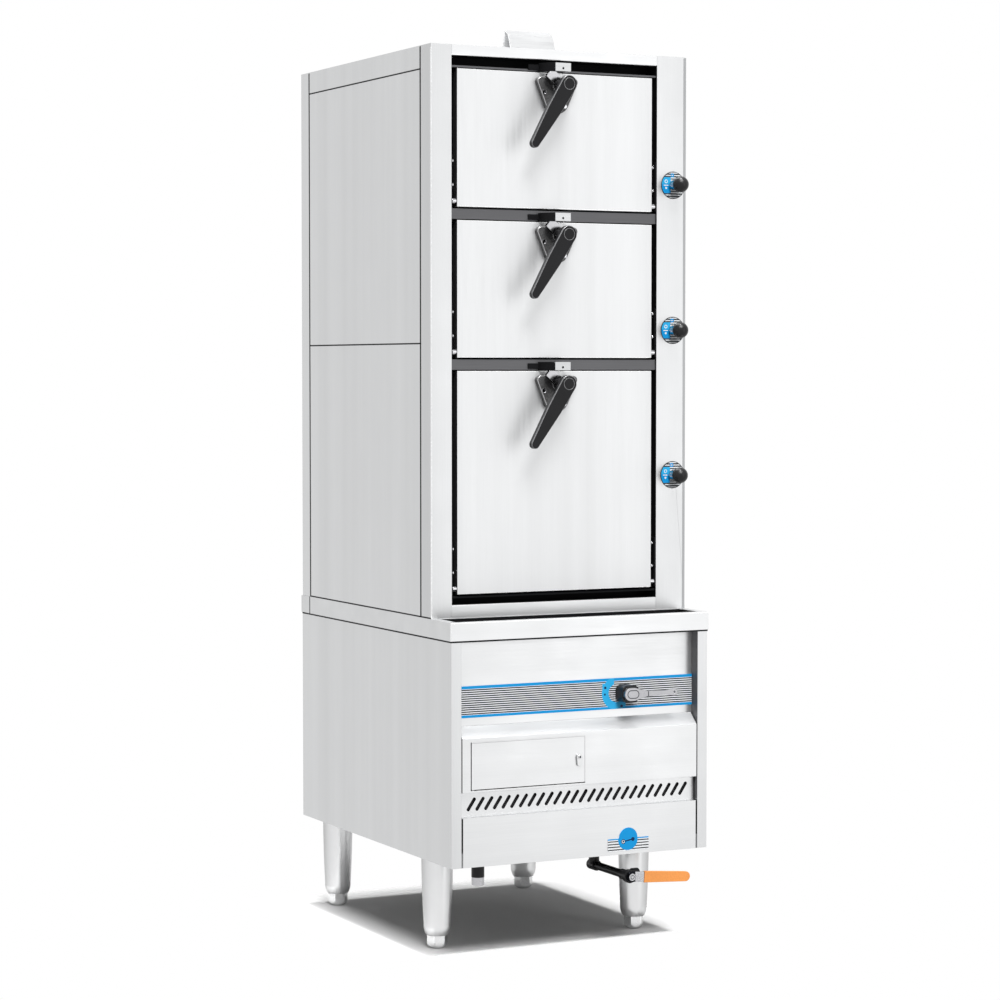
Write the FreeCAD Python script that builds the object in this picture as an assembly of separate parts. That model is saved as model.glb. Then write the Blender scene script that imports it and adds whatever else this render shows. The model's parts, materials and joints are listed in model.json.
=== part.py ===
import FreeCAD, Part
import math
import os

from FreeCAD import Vector

# A free-standing gas steam cabinet: a base with boiler and burner on four
# feet, and three insulated steam chambers above it, each behind a door that
# folds down. Millimetres; +X right seen from the front, front faces -Y, +Z up.
# The origin is the middle of the whole outline, on the floor.

# Overall sizes
WIDTH = 600.0
BASE_DEPTH = 785.0
UPPER_DEPTH = 690.0
CABINET_TOP = 1880.0
RIM_TOP = 705.0
RIM_HEIGHT = 38.0
RIM_PROUD = 2.0
BODY_BOTTOM = 203.0
SHEET = 1.5
SEAM = 1.5
GAS_LEVER_PROUD = 14.0

# Upper front and doors
LEFT_STILE = 47.0
RIGHT_STILE = 71.0
TOP_RAIL = 22.0
BOTTOM_RAIL = 27.0
SIDE_POST = 50.0
REAR_POST = 47.0
SIDE_TOP_RAIL = 48.0
SIDE_SEAM_HEIGHT = 1270.0
POST_LIP = 10.0
DOOR_SIDE_GAP = 12.5
DOOR_HEAD_GAP = 26.0
DOOR_SILL_GAP = 21.0
DIVIDER_GAP = 27.0
UPPER_DOOR_HEIGHT = 282.0
DOOR_THICKNESS = 36.0
SKIN_DEPTH = 20.0
PAN_INSET = 4.0
GASKET_INSET = 12.0
GASKET_WIDTH = 10.0
GASKET_THICKNESS = 7.7
SEAL_CLEARANCE = 0.3
DIVIDER_RECESS = 4.0
DIVIDER_TOP_GAP = 3.5
DIVIDER_BOTTOM_GAP = 2.0
STRIP_HEIGHT = 4.0

# Door hinges
PIN_RADIUS = 4.0
PIN_CLEARANCE = 0.05
PIN_SETBACK = 8.0
PIN_RISE = 12.0
PIN_BITE = 12.0
HINGE_PLATE_THICKNESS = 3.0
HINGE_PLATE_DEPTH = 18.0
HINGE_BOLT_RISES = (33.0, 82.0)
HINGE_BOLT_HEAD_RADIUS = 4.5
HINGE_BOLT_HEAD = 5.0
HINGE_BOLT_ROUNDING = 1.6
HINGE_BOLT_SHIFT = 2.0
HINGE_PLATE_SETBACK = 2.0
HINGE_PLATE_FOOT = 10.0
HINGE_PLATE_END = 12.0
HINGE_WASHER_RADIUS = 6.5
HINGE_WASHER_GAP = 0.5

# Chambers
CHAMBER_INSET = 23.0
BACK_INSULATION = 63.0
RUNNER_LEG = 18.0
RUNNER_THICKNESS = 2.0
RUNNER_SETBACK = 40.0
SHELF_CLEARANCE = 4.0
SHELF_LIP = 12.0
SHELF_SETBACK = 12.0
SHELF_BORDER = 30.0
SHELF_SLOTS = 14
SHELF_SLOT_WIDTH = 12.0
UPPER_SHELF_RISE = 60.0
LOWER_SHELF_RISES = (60.0, 230.0)
BATT_GAP = 1.0
SIDE_BATT_SETBACK = 50.0
RIGHT_BATT_THICKNESS = 36.0

# Latches
LATCH_DROP = 27.0
LATCH_STANDOFF = 60.0
LEVER_THICKNESS = 12.0
LEVER_LENGTH = 156.0
LEVER_HUB_RADIUS = 18.0
LEVER_WAIST_REACH = 60.0
LEVER_WAIST_RADIUS = 16.4
LEVER_TIP_RADIUS = 9.5
LEVER_ANGLE = 32.0
LEVER_ROUNDING = 2.6
LEVER_NECK_RADIUS = 12.0
LEVER_CAP_RADIUS = 12.0
LEVER_CAP_GROOVE = 0.9
LEVER_CAP_DEPTH = 1.2
LATCH_BASE_THICKNESS = 14.0
LATCH_BASE_CIRCLES = (
    (35.0, 8.0, 9.0),
    (-41.0, 8.0, 9.0),
    (-4.0, -31.0, 28.0),
)
LATCH_BASE_ROUNDING = 2.0
LATCH_BOSS_RADIUS = 15.0
LATCH_BOSS_HEIGHT = 2.0
LATCH_SCREWS = ((-35.0, -14.0), (31.0, -6.0), (14.5, -42.5))
LATCH_SCREW_RADIUS = 4.6
LATCH_SCREW_HEIGHT = 3.0
LATCH_SCREW_SINK = 1.0
LATCH_SCREW_ROUNDING = 1.0
SPINDLE_RADIUS = 7.0
SPINDLE_CLEARANCE = 0.08
CAM_ANGLE = 140.0
CAM_REACH = 40.0
CAM_WIDTH = 22.0
CAM_THICKNESS = 9.0
CAM_STANDOFF = 20.0
CAM_TOP_CLEARANCE = 0.7
CAM_ROUNDING = 2.0
SPINDLE_END = 0.5
STRIKE_WIDTH = 36.0
STRIKE_HEIGHT = 17.5
STRIKE_STANDOFF = 32.0
STRIKE_THICKNESS = 3.0
STRIKE_GAP = 1.0
STRIKE_WING = 46.0
STRIKE_WING_RUN = 22.0
STRIKE_WING_BOW = 4.0
STRIKE_FLANGE_INSET = 3.0
STRIKE_HOLE_RADIUS = 2.2
STRIKE_HOLE_DROP = 2.5

# Steam supply on the right
KNOB_LOW_HEIGHT = 992.0
KNOB_PITCH = 308.0
KNOB_FROM_RIGHT = 31.5
KNOB_BALL_RADIUS = 17.0
KNOB_STANDOFF = 33.0
KNOB_NECK_RADIUS = 11.0
KNOB_SPINDLE_RADIUS = 5.0
KNOB_SPINDLE_CLEARANCE = 0.08
DIAL_RADIUS = 29.0
PLATE_THICKNESS = 0.8
MANIFOLD_RADIUS = 17.0
MANIFOLD_SETBACK = 100.0
VALVE_RADIUS = 16.0
VALVE_FRONT = 22.0
VALVE_LENGTH = 50.0
BRANCH_RADIUS = 8.0
BRANCH_SETBACK = 64.0
BRANCH_CLEARANCE = 0.2
VALVE_NECK_RADIUS = 10.0
BONNET_LENGTH = 12.0
SPINDLE_END_GAP = 4.0
SPINDLE_BORE_DEPTH = 12.0
KNOB_BACK_GAP = 3.0
STILE_HOLE_CLEARANCE = 2.0
MANIFOLD_WALL = 2.5
MANIFOLD_LOW = 530.0
MANIFOLD_END = 40.0
MANIFOLD_CAP = 3.0
STEAM_FEED_RADIUS = 12.0
STEAM_FEED_RISE = 25.0
DECK_HOLE_CLEARANCE = 1.0

# Base front
BASE_STILE = 23.0
PANEL_RECESS = 25.0
SLOPE_TOP = 490.0
SLOPE_BOTTOM = 467.0
LOWER_PANEL_BOTTOM = 356.0
APRON_TOP = 305.0
GRILLE_RECESS = 13.0
GRILLE_LAP = 1.5
GRILLE_SLOTS = 26
GRILLE_PITCH = 19.9
GRILLE_SLOT_LEAN = 13.7
GRILLE_SLOT_RISE = 20.5
GRILLE_SLOT_WIDTH = 7.0
PANEL_SEAM = 2.0
APRON_SEAM = 3.5
BAND_LOW = 506.5
BAND_HEIGHT = 65.0

# Gutter between the rim and the upper cabinet
GUTTER_SIDE = 16.0
GUTTER_FRONT = 12.0
GUTTER_BACK = 3.0
GUTTER_FLOOR = 669.0

# Access door in the lower panel
ACCESS_LEFT = 46.0
ACCESS_WIDTH = 260.0
ACCESS_LOW = 362.0
ACCESS_HEIGHT = 95.0
ACCESS_GAP = 2.0
ACCESS_RETURN = 12.0
ACCESS_FLANGE = 4.0
ACCESS_PIN_RADIUS = 2.0
ACCESS_PIN_INSET = 4.0
ACCESS_LATCH_FROM_EDGE = 13.0
ACCESS_LATCH_HEIGHT = 53.0
ACCESS_LATCH_RADIUS = 6.0
ACCESS_LATCH_CLEARANCE = 0.08
ACCESS_TAB_THICKNESS = 4.0
ACCESS_TAB_GAP = 0.3
ACCESS_TAB_TOP_RADIUS = 6.5
ACCESS_TAB_END_RADIUS = 5.5
ACCESS_TAB_REACH = 14.0
ACCESS_BUTTON_RADIUS = 3.8
ACCESS_BUTTON_HEIGHT = 1.5
ACCESS_CAM_REACH = 11.0
ACCESS_CAM_HALF = 6.0
ACCESS_CAM_THICKNESS = 2.0
ACCESS_CAM_GAP = 2.0
ACCESS_KNUCKLE_RADIUS = 3.9
ACCESS_KNUCKLE_HEIGHT = 12.0

# Gas valve
GAS_FROM_RIGHT = 188.0
GAS_HEIGHT = 540.0
GAS_KNOB_WIDTH = 40.0
GAS_KNOB_HEIGHT = 35.0
GAS_KNOB_CORNER = 11.0
GAS_SPINDLE_RADIUS = 5.0
GAS_LEVER_REACH = 108.0
GAS_LEVER_THICKNESS = 10.0
GAS_LEVER_HUB_RADIUS = 13.4
GAS_LEVER_HUB_BACK = 5.0
GAS_LEVER_HUB_AHEAD = 4.0
GAS_LEVER_NECK_REACH = 36.0
GAS_LEVER_NECK_RADIUS = 5.0
GAS_LEVER_ROOT_RADIUS = 6.0
GAS_LEVER_WAIST_REACH = 80.0
GAS_LEVER_WAIST_RADIUS = 4.4
GAS_LEVER_END_RADIUS = 7.4
GAS_LEVER_STEP = 2.0
GAS_LEVER_HOLE_RADIUS = 2.6
GAS_PIPE_RADIUS = 9.0
GAS_ELBOW_RADIUS = 12.0
GAS_VALVE_RADIUS = 17.0
GAS_VALVE_LENGTH = 46.0
GAS_FLANGE_RADIUS = 20.0
GAS_FLANGE_THICKNESS = 4.0
GAS_BONNET_RADIUS = 10.0
GAS_HOLE_RADIUS = 12.0
GAS_CLEARANCE = 0.08
GAS_SPINDLE_DEPTH = 14.0
GAS_KNOB_BACK_GAP = 1.6
GAS_DROP_SETBACK = 32.0
GAS_RUN_X = 40.0
GAS_SUPPLY_FROM_RIGHT = 45.0
GAS_SUPPLY_HEIGHT = 340.0
GAS_INLET_RADIUS = 13.5
GAS_INLET_BORE = 9.3
GAS_INLET_DEPTH = 16.0
GAS_INLET_LENGTH = 22.0

# Drain, under the apron
DRAIN_HEIGHT = 154.0
DRAIN_PIPE_RADIUS = 8.6
DRAIN_TEE_SETBACK = 165.0
DRAIN_VALVE_FROM_RIGHT = 182.0
DRAIN_COLLAR = 2.8
DRAIN_VALVE_SETBACK = 24.0
DRAIN_VALVE_BACK = 40.0
DRAIN_VALVE_RADIUS = 11.0
DRAIN_ARM_RADIUS = 10.0
DRAIN_FLANGE_RADIUS = 14.0
DRAIN_FLANGE_LENGTH = 12.0
DRAIN_FRONT_GAP = 4.0
DRAIN_BORE = 6.0
DRAIN_ARM_BORE = 5.4
DRAIN_OUTLET_RADIUS = 9.3
DRAIN_OUTLET_RING = 13.5
DRAIN_OUTLET_DEPTH = 14.0
DRAIN_OUTLET_REACH = 28.0
DRAIN_STEM_RADIUS = 4.0
DRAIN_STEM_CLEARANCE = 0.08
DRAIN_STEM_GAP = 1.0
DRAIN_NUT = (8.5, 5.0)
DRAIN_TEE_LENGTH = 28.0
DRAIN_TEE_RISE = 18.0
DRAIN_LEVER_LENGTH = 140.0
DRAIN_LEVER_WIDTH = 20.0
DRAIN_LEVER_THICKNESS = 3.0
DRAIN_LEVER_DROOP = 4.0
DRAIN_LEVER_BARE = 31.0
DRAIN_LEVER_TAPER = 1.0
DRAIN_SLEEVE_WALL = 1.5
DRAIN_DIAL_FROM_VALVE = 8.0
DRAIN_DIAL_HEIGHT = 237.0
DRAIN_DIAL_RADIUS = 22.0
DRAIN_DIAL_PLATE = (97.0, 26.0)

# Water inlet
INLET_FROM_LEFT = 90.0
INLET_SETBACK = 62.0
INLET_RADIUS = 13.5
INLET_BORE = 9.5
INLET_BOTTOM = 154.0
INLET_THREAD = 17.0
INLET_THREAD_RADIUS = 13.2
FEED_BOX_LEFT = 34.0
FEED_BOX_WIDTH = 90.0
FEED_BOX_FRONT = 32.0
FEED_BOX_DEPTH = 92.0
FEED_BOX_LOW = 500.0
FEED_BOX_HEIGHT = 100.0
FEED_BOX_WALL = 3.0
FEED_LINK_FROM_LEFT = 100.0
FEED_LINK_RISE = 20.0
FEED_LINK_RADIUS = 10.0

# Flue slots in the rear panel
FLUE_ROWS = 4
FLUE_LOW = 560.0
FLUE_PITCH = 20.0
FLUE_WIDTH = 120.0
FLUE_HEIGHT = 7.0
FLUE_SPREAD = 120.0

# Boiler, burner and base frame
TUBE = 30.0
RAIL_FROM_SIDE = 56.0
TUBE_WALL = 2.0
BOILER_WALL = 3.0
DRAIN_HOLE_RADIUS = 6.0
BOILER_SIDE = 62.0
BOILER_FRONT_GAP = 150.0
BOILER_BACK_GAP = 60.0
BOILER_BOTTOM = 400.0
BOILER_TOP = 590.0
BEARER_INSET = 60.0
BURNER_RADIUS = 90.0
BURNER_BOTTOM = 300.0
BURNER_HEIGHT = 32.0

BURNER_HOLE = 38.0
BURNER_PORT_RADIUS = 2.5
BURNER_PORT_DEPTH = 20.0
BURNER_PORT_RINGS = ((55.0, 16), (75.0, 22))
BURNER_SHIFT = 40.0
CRADLE_THICKNESS = 4.0
CRADLE_WIDTH = 24.0
CRADLE_SPREAD = 60.0
CRADLE_LEG_RADIUS = 8.0
CRADLE_LEG_SPREAD = (45.0, 48.0)

# Feet
FOOT_FROM_SIDE = 63.5
FRONT_FOOT_SETBACK = 203.0
REAR_FOOT_SETBACK = 51.0
FOOT_TOP_RADIUS = 33.5
FOOT_MIDDLE_RADIUS = 32.2
FOOT_LOW_RADIUS = 29.2
FOOT_END_RADIUS = 23.5
FOOT_END_HEIGHT = 24.0
FOOT_END_BULGE = 1.6
FOOT_WALL = 2.0
FOOT_ADJUSTER_HEIGHT = 28.0
FOOT_HEX_ACROSS = 39.0
FOOT_HEX_TURN = -11.5
FOOT_PAD_RADIUS = 13.0
FOOT_PAD_HEIGHT = 13.0
FOOT_PAD_BULGE = 1.6
FOOT_STUD_RADIUS = 8.0
FOOT_STUD_CLEARANCE = 0.4
FOOT_STUD_LENGTH = 40.0
FOOT_NUT_DEPTH = 14.0

# Steam vent hood on the roof
HOOD_WIDTH = 106.0
HOOD_SETBACK = 124.0
HOOD_BASE_DEPTH = 50.0
HOOD_RIDGE_DEPTH = 17.0
HOOD_FRONT_HEIGHT = 44.0
HOOD_HEIGHT = 55.0
HOOD_FRONT_SHEET = 2.0
HOOD_RIDGE_SHEET = 2.4
HOOD_BACK_SHEET = 1.8
VENT_WIDTH = 25.0
VENT_WALL = 1.5
VENT_RISE = 14.0

# Shape helpers' own settings
EDGE_SAMPLES = 5
EDGE_TOLERANCE = 0.01

# Planes and places worked out from the sizes
LEFT = -WIDTH / 2
RIGHT = WIDTH / 2
BACK = (BASE_DEPTH + GAS_LEVER_PROUD) / 2
BASE_FRONT = BACK - BASE_DEPTH
UPPER_FRONT = BACK - UPPER_DEPTH
RIM_FRONT = BASE_FRONT - RIM_PROUD
RIM_BOTTOM = RIM_TOP - RIM_HEIGHT
DECK_UNDER = RIM_TOP - SHEET
OPENING_LEFT = LEFT + LEFT_STILE
OPENING_RIGHT = RIGHT - RIGHT_STILE
OPENING_TOP = CABINET_TOP - TOP_RAIL
OPENING_BOTTOM = RIM_TOP + BOTTOM_RAIL
DOOR_LEFT = OPENING_LEFT + DOOR_SIDE_GAP
DOOR_RIGHT = OPENING_RIGHT - DOOR_SIDE_GAP
DOOR_MIDDLE = (DOOR_LEFT + DOOR_RIGHT) / 2
SKIN_BACK = UPPER_FRONT + SKIN_DEPTH
PAN_BACK = UPPER_FRONT + DOOR_THICKNESS
FACE_FRONT = PAN_BACK + GASKET_THICKNESS + SEAL_CLEARANCE
LINER_FRONT = FACE_FRONT + SHEET
CHAMBER_LEFT = DOOR_LEFT + CHAMBER_INSET
CHAMBER_RIGHT = DOOR_RIGHT - CHAMBER_INSET
INNER_BACK = BACK - SHEET
LINER_BACK = INNER_BACK - BACK_INSULATION
PANEL_FRONT = BASE_FRONT + PANEL_RECESS
GUTTER_UNDER = GUTTER_FLOOR - SHEET
STILE_EDGE = RIGHT - BASE_STILE
KNOB_X = RIGHT - KNOB_FROM_RIGHT
GAS_X = RIGHT - GAS_FROM_RIGHT
GAS_SUPPLY_X = RIGHT - GAS_SUPPLY_FROM_RIGHT
DRAIN_VALVE_X = RIGHT - DRAIN_VALVE_FROM_RIGHT
DRAIN_DIAL_X = DRAIN_VALVE_X - DRAIN_DIAL_FROM_VALVE
INLET_X = LEFT + INLET_FROM_LEFT
FEED_LINK_X = LEFT + FEED_LINK_FROM_LEFT

TOP_DOOR_TOP = OPENING_TOP - DOOR_HEAD_GAP
MIDDLE_DOOR_TOP = TOP_DOOR_TOP - UPPER_DOOR_HEIGHT - DIVIDER_GAP
BOTTOM_DOOR_TOP = MIDDLE_DOOR_TOP - UPPER_DOOR_HEIGHT - DIVIDER_GAP
DOORS = {
    "top": (MIDDLE_DOOR_TOP + DIVIDER_GAP, TOP_DOOR_TOP),
    "middle": (BOTTOM_DOOR_TOP + DIVIDER_GAP, MIDDLE_DOOR_TOP),
    "bottom": (OPENING_BOTTOM + DOOR_SILL_GAP, BOTTOM_DOOR_TOP),
}
KNOBS = {
    "bottom": KNOB_LOW_HEIGHT,
    "middle": KNOB_LOW_HEIGHT + KNOB_PITCH,
    "top": KNOB_LOW_HEIGHT + 2 * KNOB_PITCH,
}

X_AXIS = Vector(1, 0, 0)
Y_AXIS = Vector(0, 1, 0)
Z_AXIS = Vector(0, 0, 1)


# Shape helpers
def block(x0, x1, y0, y1, z0, z1):
    return Part.makeBox(x1 - x0, y1 - y0, z1 - z0, Vector(x0, y0, z0))


def rod(start, direction, radius, length):
    return Part.makeCylinder(radius, length, Vector(*start), direction)


def pipe(start, direction, radius, wall, length):
    outer = rod(start, direction, radius, length)
    return outer.cut(rod(start, direction, radius - wall, length))


def pipe_route(points, radius, elbow):
    """Straight pipes along a route, with a ball elbow at each inner corner."""
    corners = [Part.makeSphere(elbow, Vector(*point)) for point in points[1:-1]]
    pieces = list(corners)
    for start, end in zip(points[:-1], points[1:]):
        span = Vector(*end).sub(Vector(*start))
        straight = rod(start, span, radius, span.Length)
        for corner in corners:
            straight = straight.cut(corner)
        pieces.append(straight)
    return pieces


def union(first, *others):
    shape = first
    for other in others:
        shape = shape.fuse(other)
    return shape.removeSplitter()


def lathe(x, y, *runs):
    """A solid turned about the upright through (x, y).

    Each run is a line through two (radius, height) points or an arc through three.
    """
    edges = []
    for run in runs:
        points = [Vector(radius, 0, height) for radius, height in run]
        curve = Part.LineSegment(*points) if len(points) == 2 else Part.Arc(*points)
        edges.append(curve.toShape())
    solid = Part.Face(Part.Wire(edges)).revolve(Vector(0, 0, 0), Z_AXIS, 360)
    solid.translate(Vector(x, y, 0))
    return solid


def prism_x(points, x0, x1):
    """Extrudes a closed outline of (y, z) points from x0 to x1."""
    loop = [Vector(x0, y, z) for y, z in points]
    face = Part.Face(Part.makePolygon(loop + loop[:1]))
    return face.extrude(Vector(x1 - x0, 0, 0))


def edges_on_plane(shape, axis, value):
    """The edges of a shape that lie in the plane axis = value."""
    chosen = []
    for edge in shape.Edges:
        points = edge.discretize(EDGE_SAMPLES)
        if all(abs(getattr(point, axis) - value) < EDGE_TOLERANCE for point in points):
            chosen.append(edge)
    return chosen


def belt_face(circles):
    """A face in XZ, bounded by a belt round circles given as (x, z, radius).

    The circles are in anticlockwise order seen from the front.
    """
    spans = []
    for (ax, az, ar), (bx, bz, br) in zip(circles, circles[1:] + circles[:1]):
        along = math.atan2(bz - az, bx - ax)
        away = along - math.acos((ar - br) / math.hypot(bx - ax, bz - az))
        c, s = math.cos(away), math.sin(away)
        leave = Vector(ax + ar * c, 0, az + ar * s)
        arrive = Vector(bx + br * c, 0, bz + br * s)
        spans.append((away, leave, arrive))
    edges = []
    for i, (x, z, r) in enumerate(circles):
        first, second = spans[i - 1][0], spans[i][0]
        while second < first:
            second += 2 * math.pi
        middle = (first + second) / 2
        crown = Vector(x + r * math.cos(middle), 0, z + r * math.sin(middle))
        leave, arrive = spans[i][1], spans[i][2]
        edges.append(Part.Arc(spans[i - 1][2], crown, leave).toShape())
        edges.append(Part.LineSegment(leave, arrive).toShape())
    return Part.Face(Part.Wire(edges))


def bar(big, small, length, thickness):
    """A flat bar with round ends at the origin and at +X, from y = 0 back."""
    return belt_face([(0, 0, big), (length, 0, small)]).extrude(Vector(0, thickness, 0))


def placed(shape, angle, x, y, z):
    """Turns a shape about the Y axis at the origin, then moves it.

    A positive angle turns +X towards +Z, anticlockwise from the front.
    """
    turned = shape.copy()
    turned.rotate(Vector(0, 0, 0), Vector(0, -1, 0), angle)
    turned.translate(Vector(x, y, z))
    return turned


def export(name, *solids):
    shape = solids[0] if len(solids) == 1 else Part.makeCompound(list(solids))
    for solid in shape.Solids:
        if not solid.isValid() or solid.Volume <= 0:
            raise ValueError("bad solid in " + name)
    shape.exportStep("parts/" + name + ".step")
    print(name, len(shape.Solids), round(shape.Volume))


# Feet and base
def foot_places():
    x = RIGHT - FOOT_FROM_SIDE
    front = BASE_FRONT + FRONT_FOOT_SETBACK
    rear = BACK - REAR_FOOT_SETBACK
    return [(sx * x, y) for y in (front, rear) for sx in (-1, 1)]


def foot_sleeve(x, y):
    """A tapering sleeve with a rounded lower end and a nut for the adjuster."""
    low = FOOT_ADJUSTER_HEIGHT
    hip = low + FOOT_END_HEIGHT
    bulge = FOOT_END_BULGE
    bend = ((FOOT_END_RADIUS + FOOT_LOW_RADIUS) / 2 + bulge, (low + hip) / 2 - bulge)
    outer = lathe(
        x,
        y,
        [(0, low), (FOOT_END_RADIUS, low)],
        [(FOOT_END_RADIUS, low), bend, (FOOT_LOW_RADIUS, hip)],
        [
            (FOOT_LOW_RADIUS, hip),
            (FOOT_MIDDLE_RADIUS, (hip + BODY_BOTTOM) / 2),
            (FOOT_TOP_RADIUS, BODY_BOTTOM),
        ],
        [(FOOT_TOP_RADIUS, BODY_BOTTOM), (0, BODY_BOTTOM)],
        [(0, BODY_BOTTOM), (0, low)],
    )
    floor = low + FOOT_NUT_DEPTH
    hollow = Part.makeCone(
        FOOT_LOW_RADIUS - 2 * FOOT_WALL,
        FOOT_TOP_RADIUS - FOOT_WALL,
        BODY_BOTTOM - FOOT_WALL - floor,
        Vector(x, y, floor),
        Z_AXIS,
    )
    bore = FOOT_STUD_RADIUS + FOOT_STUD_CLEARANCE
    hole = rod((x, y, low), Z_AXIS, bore, FOOT_NUT_DEPTH + FOOT_WALL)
    return outer.cut(hollow).cut(hole)


def foot_adjuster(x, y):
    """A hexagon with a rounded pad, and the stud that screws into the sleeve."""
    corner = FOOT_HEX_ACROSS / 2 / math.cos(math.pi / 6)
    high = FOOT_ADJUSTER_HEIGHT
    angles = [math.pi * i / 3 + math.radians(FOOT_HEX_TURN) for i in range(7)]
    ring = [Vector(x + corner * math.cos(a), y + corner * math.sin(a), 0) for a in angles]
    hexagon = Part.Face(Part.makePolygon(ring)).extrude(Vector(0, 0, high))
    bulge = FOOT_PAD_BULGE
    bend = ((FOOT_PAD_RADIUS + corner) / 2 + bulge, FOOT_PAD_HEIGHT / 2 - bulge)
    form = lathe(
        x,
        y,
        [(0, 0), (FOOT_PAD_RADIUS, 0)],
        [(FOOT_PAD_RADIUS, 0), bend, (corner, FOOT_PAD_HEIGHT)],
        [(corner, FOOT_PAD_HEIGHT), (corner, high)],
        [(corner, high), (0, high)],
        [(0, high), (0, 0)],
    )
    stud = rod((x, y, high), Z_AXIS, FOOT_STUD_RADIUS, FOOT_STUD_LENGTH)
    return union(hexagon.common(form), stud)


def square_tube(x0, x1, y0, y1, z0, z1, along):
    outer = block(x0, x1, y0, y1, z0, z1)
    t = TUBE_WALL
    grow = {"x": (0, t, t), "y": (t, 0, t), "z": (t, t, 0)}[along]
    inner = block(
        x0 + grow[0], x1 - grow[0], y0 + grow[1], y1 - grow[1], z0 + grow[2], z1 - grow[2]
    )
    return outer.cut(inner)


def base_frame():
    inner = RIGHT - SHEET
    front = BASE_FRONT + SHEET
    low, high = BODY_BOTTOM, BODY_BOTTOM + TUBE
    rail_x = RIGHT - RAIL_FROM_SIDE
    rails = [
        square_tube(-inner, inner, front, front + TUBE, low, high, "x"),
        square_tube(-inner, inner, INNER_BACK - TUBE, INNER_BACK, low, high, "x"),
    ]
    for side in (-1, 1):
        x = side * rail_x
        rails.append(
            square_tube(
                x - TUBE / 2, x + TUBE / 2, front + TUBE, INNER_BACK - TUBE, low, high, "y"
            )
        )
    post_front = PANEL_FRONT + SHEET + 1.0
    for side in (-1, 1):
        x0 = min(side * inner, side * (inner - TUBE))
        for y0, top in ((post_front, GUTTER_UNDER), (INNER_BACK - TUBE, DECK_UNDER)):
            rails.append(square_tube(x0, x0 + TUBE, y0, y0 + TUBE, high, top, "z"))
    bearer = BOILER_BOTTOM - TUBE
    for y in (BASE_FRONT + BOILER_FRONT_GAP + BEARER_INSET, INNER_BACK - BOILER_BACK_GAP - BEARER_INSET):
        rails.append(square_tube(-inner, inner, y, y + TUBE, bearer, BOILER_BOTTOM, "x"))
    return rails


def base_side_panels():
    front = BASE_FRONT + SHEET
    top = DECK_UNDER
    left = block(LEFT, LEFT + SHEET, front, BACK, BODY_BOTTOM, top)
    right = block(RIGHT - SHEET, RIGHT, front, BACK, BODY_BOTTOM, top)
    return [left, right]


def base_stile(side):
    outer = side * RIGHT
    inner = side * STILE_EDGE
    x0, x1 = min(outer, inner), max(outer, inner)
    face = block(x0, x1, BASE_FRONT, BASE_FRONT + SHEET, BODY_BOTTOM, DECK_UNDER)
    jamb_x = inner if side > 0 else inner - SHEET
    jamb = block(
        jamb_x, jamb_x + SHEET, BASE_FRONT + SHEET, PANEL_FRONT + SHEET, BODY_BOTTOM + TUBE, GUTTER_UNDER
    )
    return union(face, jamb)


def back_panels():
    """The base's rear panel with flue slots and a gas hole, and the upper one."""
    base = block(LEFT + SHEET, RIGHT - SHEET, INNER_BACK, BACK, BODY_BOTTOM, DECK_UNDER)
    slots = []
    for row in range(FLUE_ROWS):
        z = FLUE_LOW + row * FLUE_PITCH
        for middle in (-FLUE_SPREAD, FLUE_SPREAD):
            x0 = middle - FLUE_WIDTH / 2
            slots.append(block(x0, x0 + FLUE_WIDTH, INNER_BACK, BACK, z, z + FLUE_HEIGHT))
    gas = rod((GAS_SUPPLY_X, INNER_BACK, GAS_SUPPLY_HEIGHT), Y_AXIS, GAS_INLET_RADIUS, SHEET)
    base = base.cut(Part.makeCompound(slots)).cut(gas)
    x = RIGHT - REAR_POST - SEAM / 2
    upper = block(-x, x, INNER_BACK, BACK, RIM_TOP, CABINET_TOP)
    return [base, upper]


def rim_deck():
    """The rim band round the base, and the deck plates round the gutter."""
    out = RIGHT + RIM_PROUD
    front = RIM_FRONT
    back = BACK + RIM_PROUD
    inner_front = front + SHEET
    inner_back = back - SHEET
    half = out - SHEET
    slot = RIGHT - GUTTER_SIDE
    slot_front = RIM_FRONT + GUTTER_FRONT
    slot_back = UPPER_FRONT - GUTTER_BACK
    rear = block(-half, half, slot_back, inner_back, DECK_UNDER, RIM_TOP)
    riser = rod(
        (KNOB_X, UPPER_FRONT + MANIFOLD_SETBACK, DECK_UNDER),
        Z_AXIS,
        MANIFOLD_RADIUS + DECK_HOLE_CLEARANCE,
        SHEET,
    )
    return [
        block(-out, out, front, inner_front, RIM_BOTTOM, RIM_TOP),
        block(-out, out, inner_back, back, RIM_BOTTOM, RIM_TOP),
        block(-out, -half, inner_front, inner_back, RIM_BOTTOM, RIM_TOP),
        block(half, out, inner_front, inner_back, RIM_BOTTOM, RIM_TOP),
        block(-half, half, inner_front, slot_front, DECK_UNDER, RIM_TOP),
        block(-half, -slot, slot_front, slot_back, DECK_UNDER, RIM_TOP),
        block(slot, half, slot_front, slot_back, DECK_UNDER, RIM_TOP),
        rear.cut(riser),
    ]


def gutter_tray():
    x0, x1 = LEFT + GUTTER_SIDE - SHEET, RIGHT - GUTTER_SIDE + SHEET
    y0 = RIM_FRONT + GUTTER_FRONT - SHEET
    y1 = UPPER_FRONT - GUTTER_BACK + SHEET
    return [
        block(x0, x1, y0, y1, GUTTER_UNDER, GUTTER_FLOOR),
        block(x0, x1, y0, y0 + SHEET, GUTTER_FLOOR, DECK_UNDER),
        block(x0, x1, y1 - SHEET, y1, GUTTER_FLOOR, DECK_UNDER),
        block(x0, x0 + SHEET, y0 + SHEET, y1 - SHEET, GUTTER_FLOOR, DECK_UNDER),
        block(x1 - SHEET, x1, y0 + SHEET, y1 - SHEET, GUTTER_FLOOR, DECK_UNDER),
    ]


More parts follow.
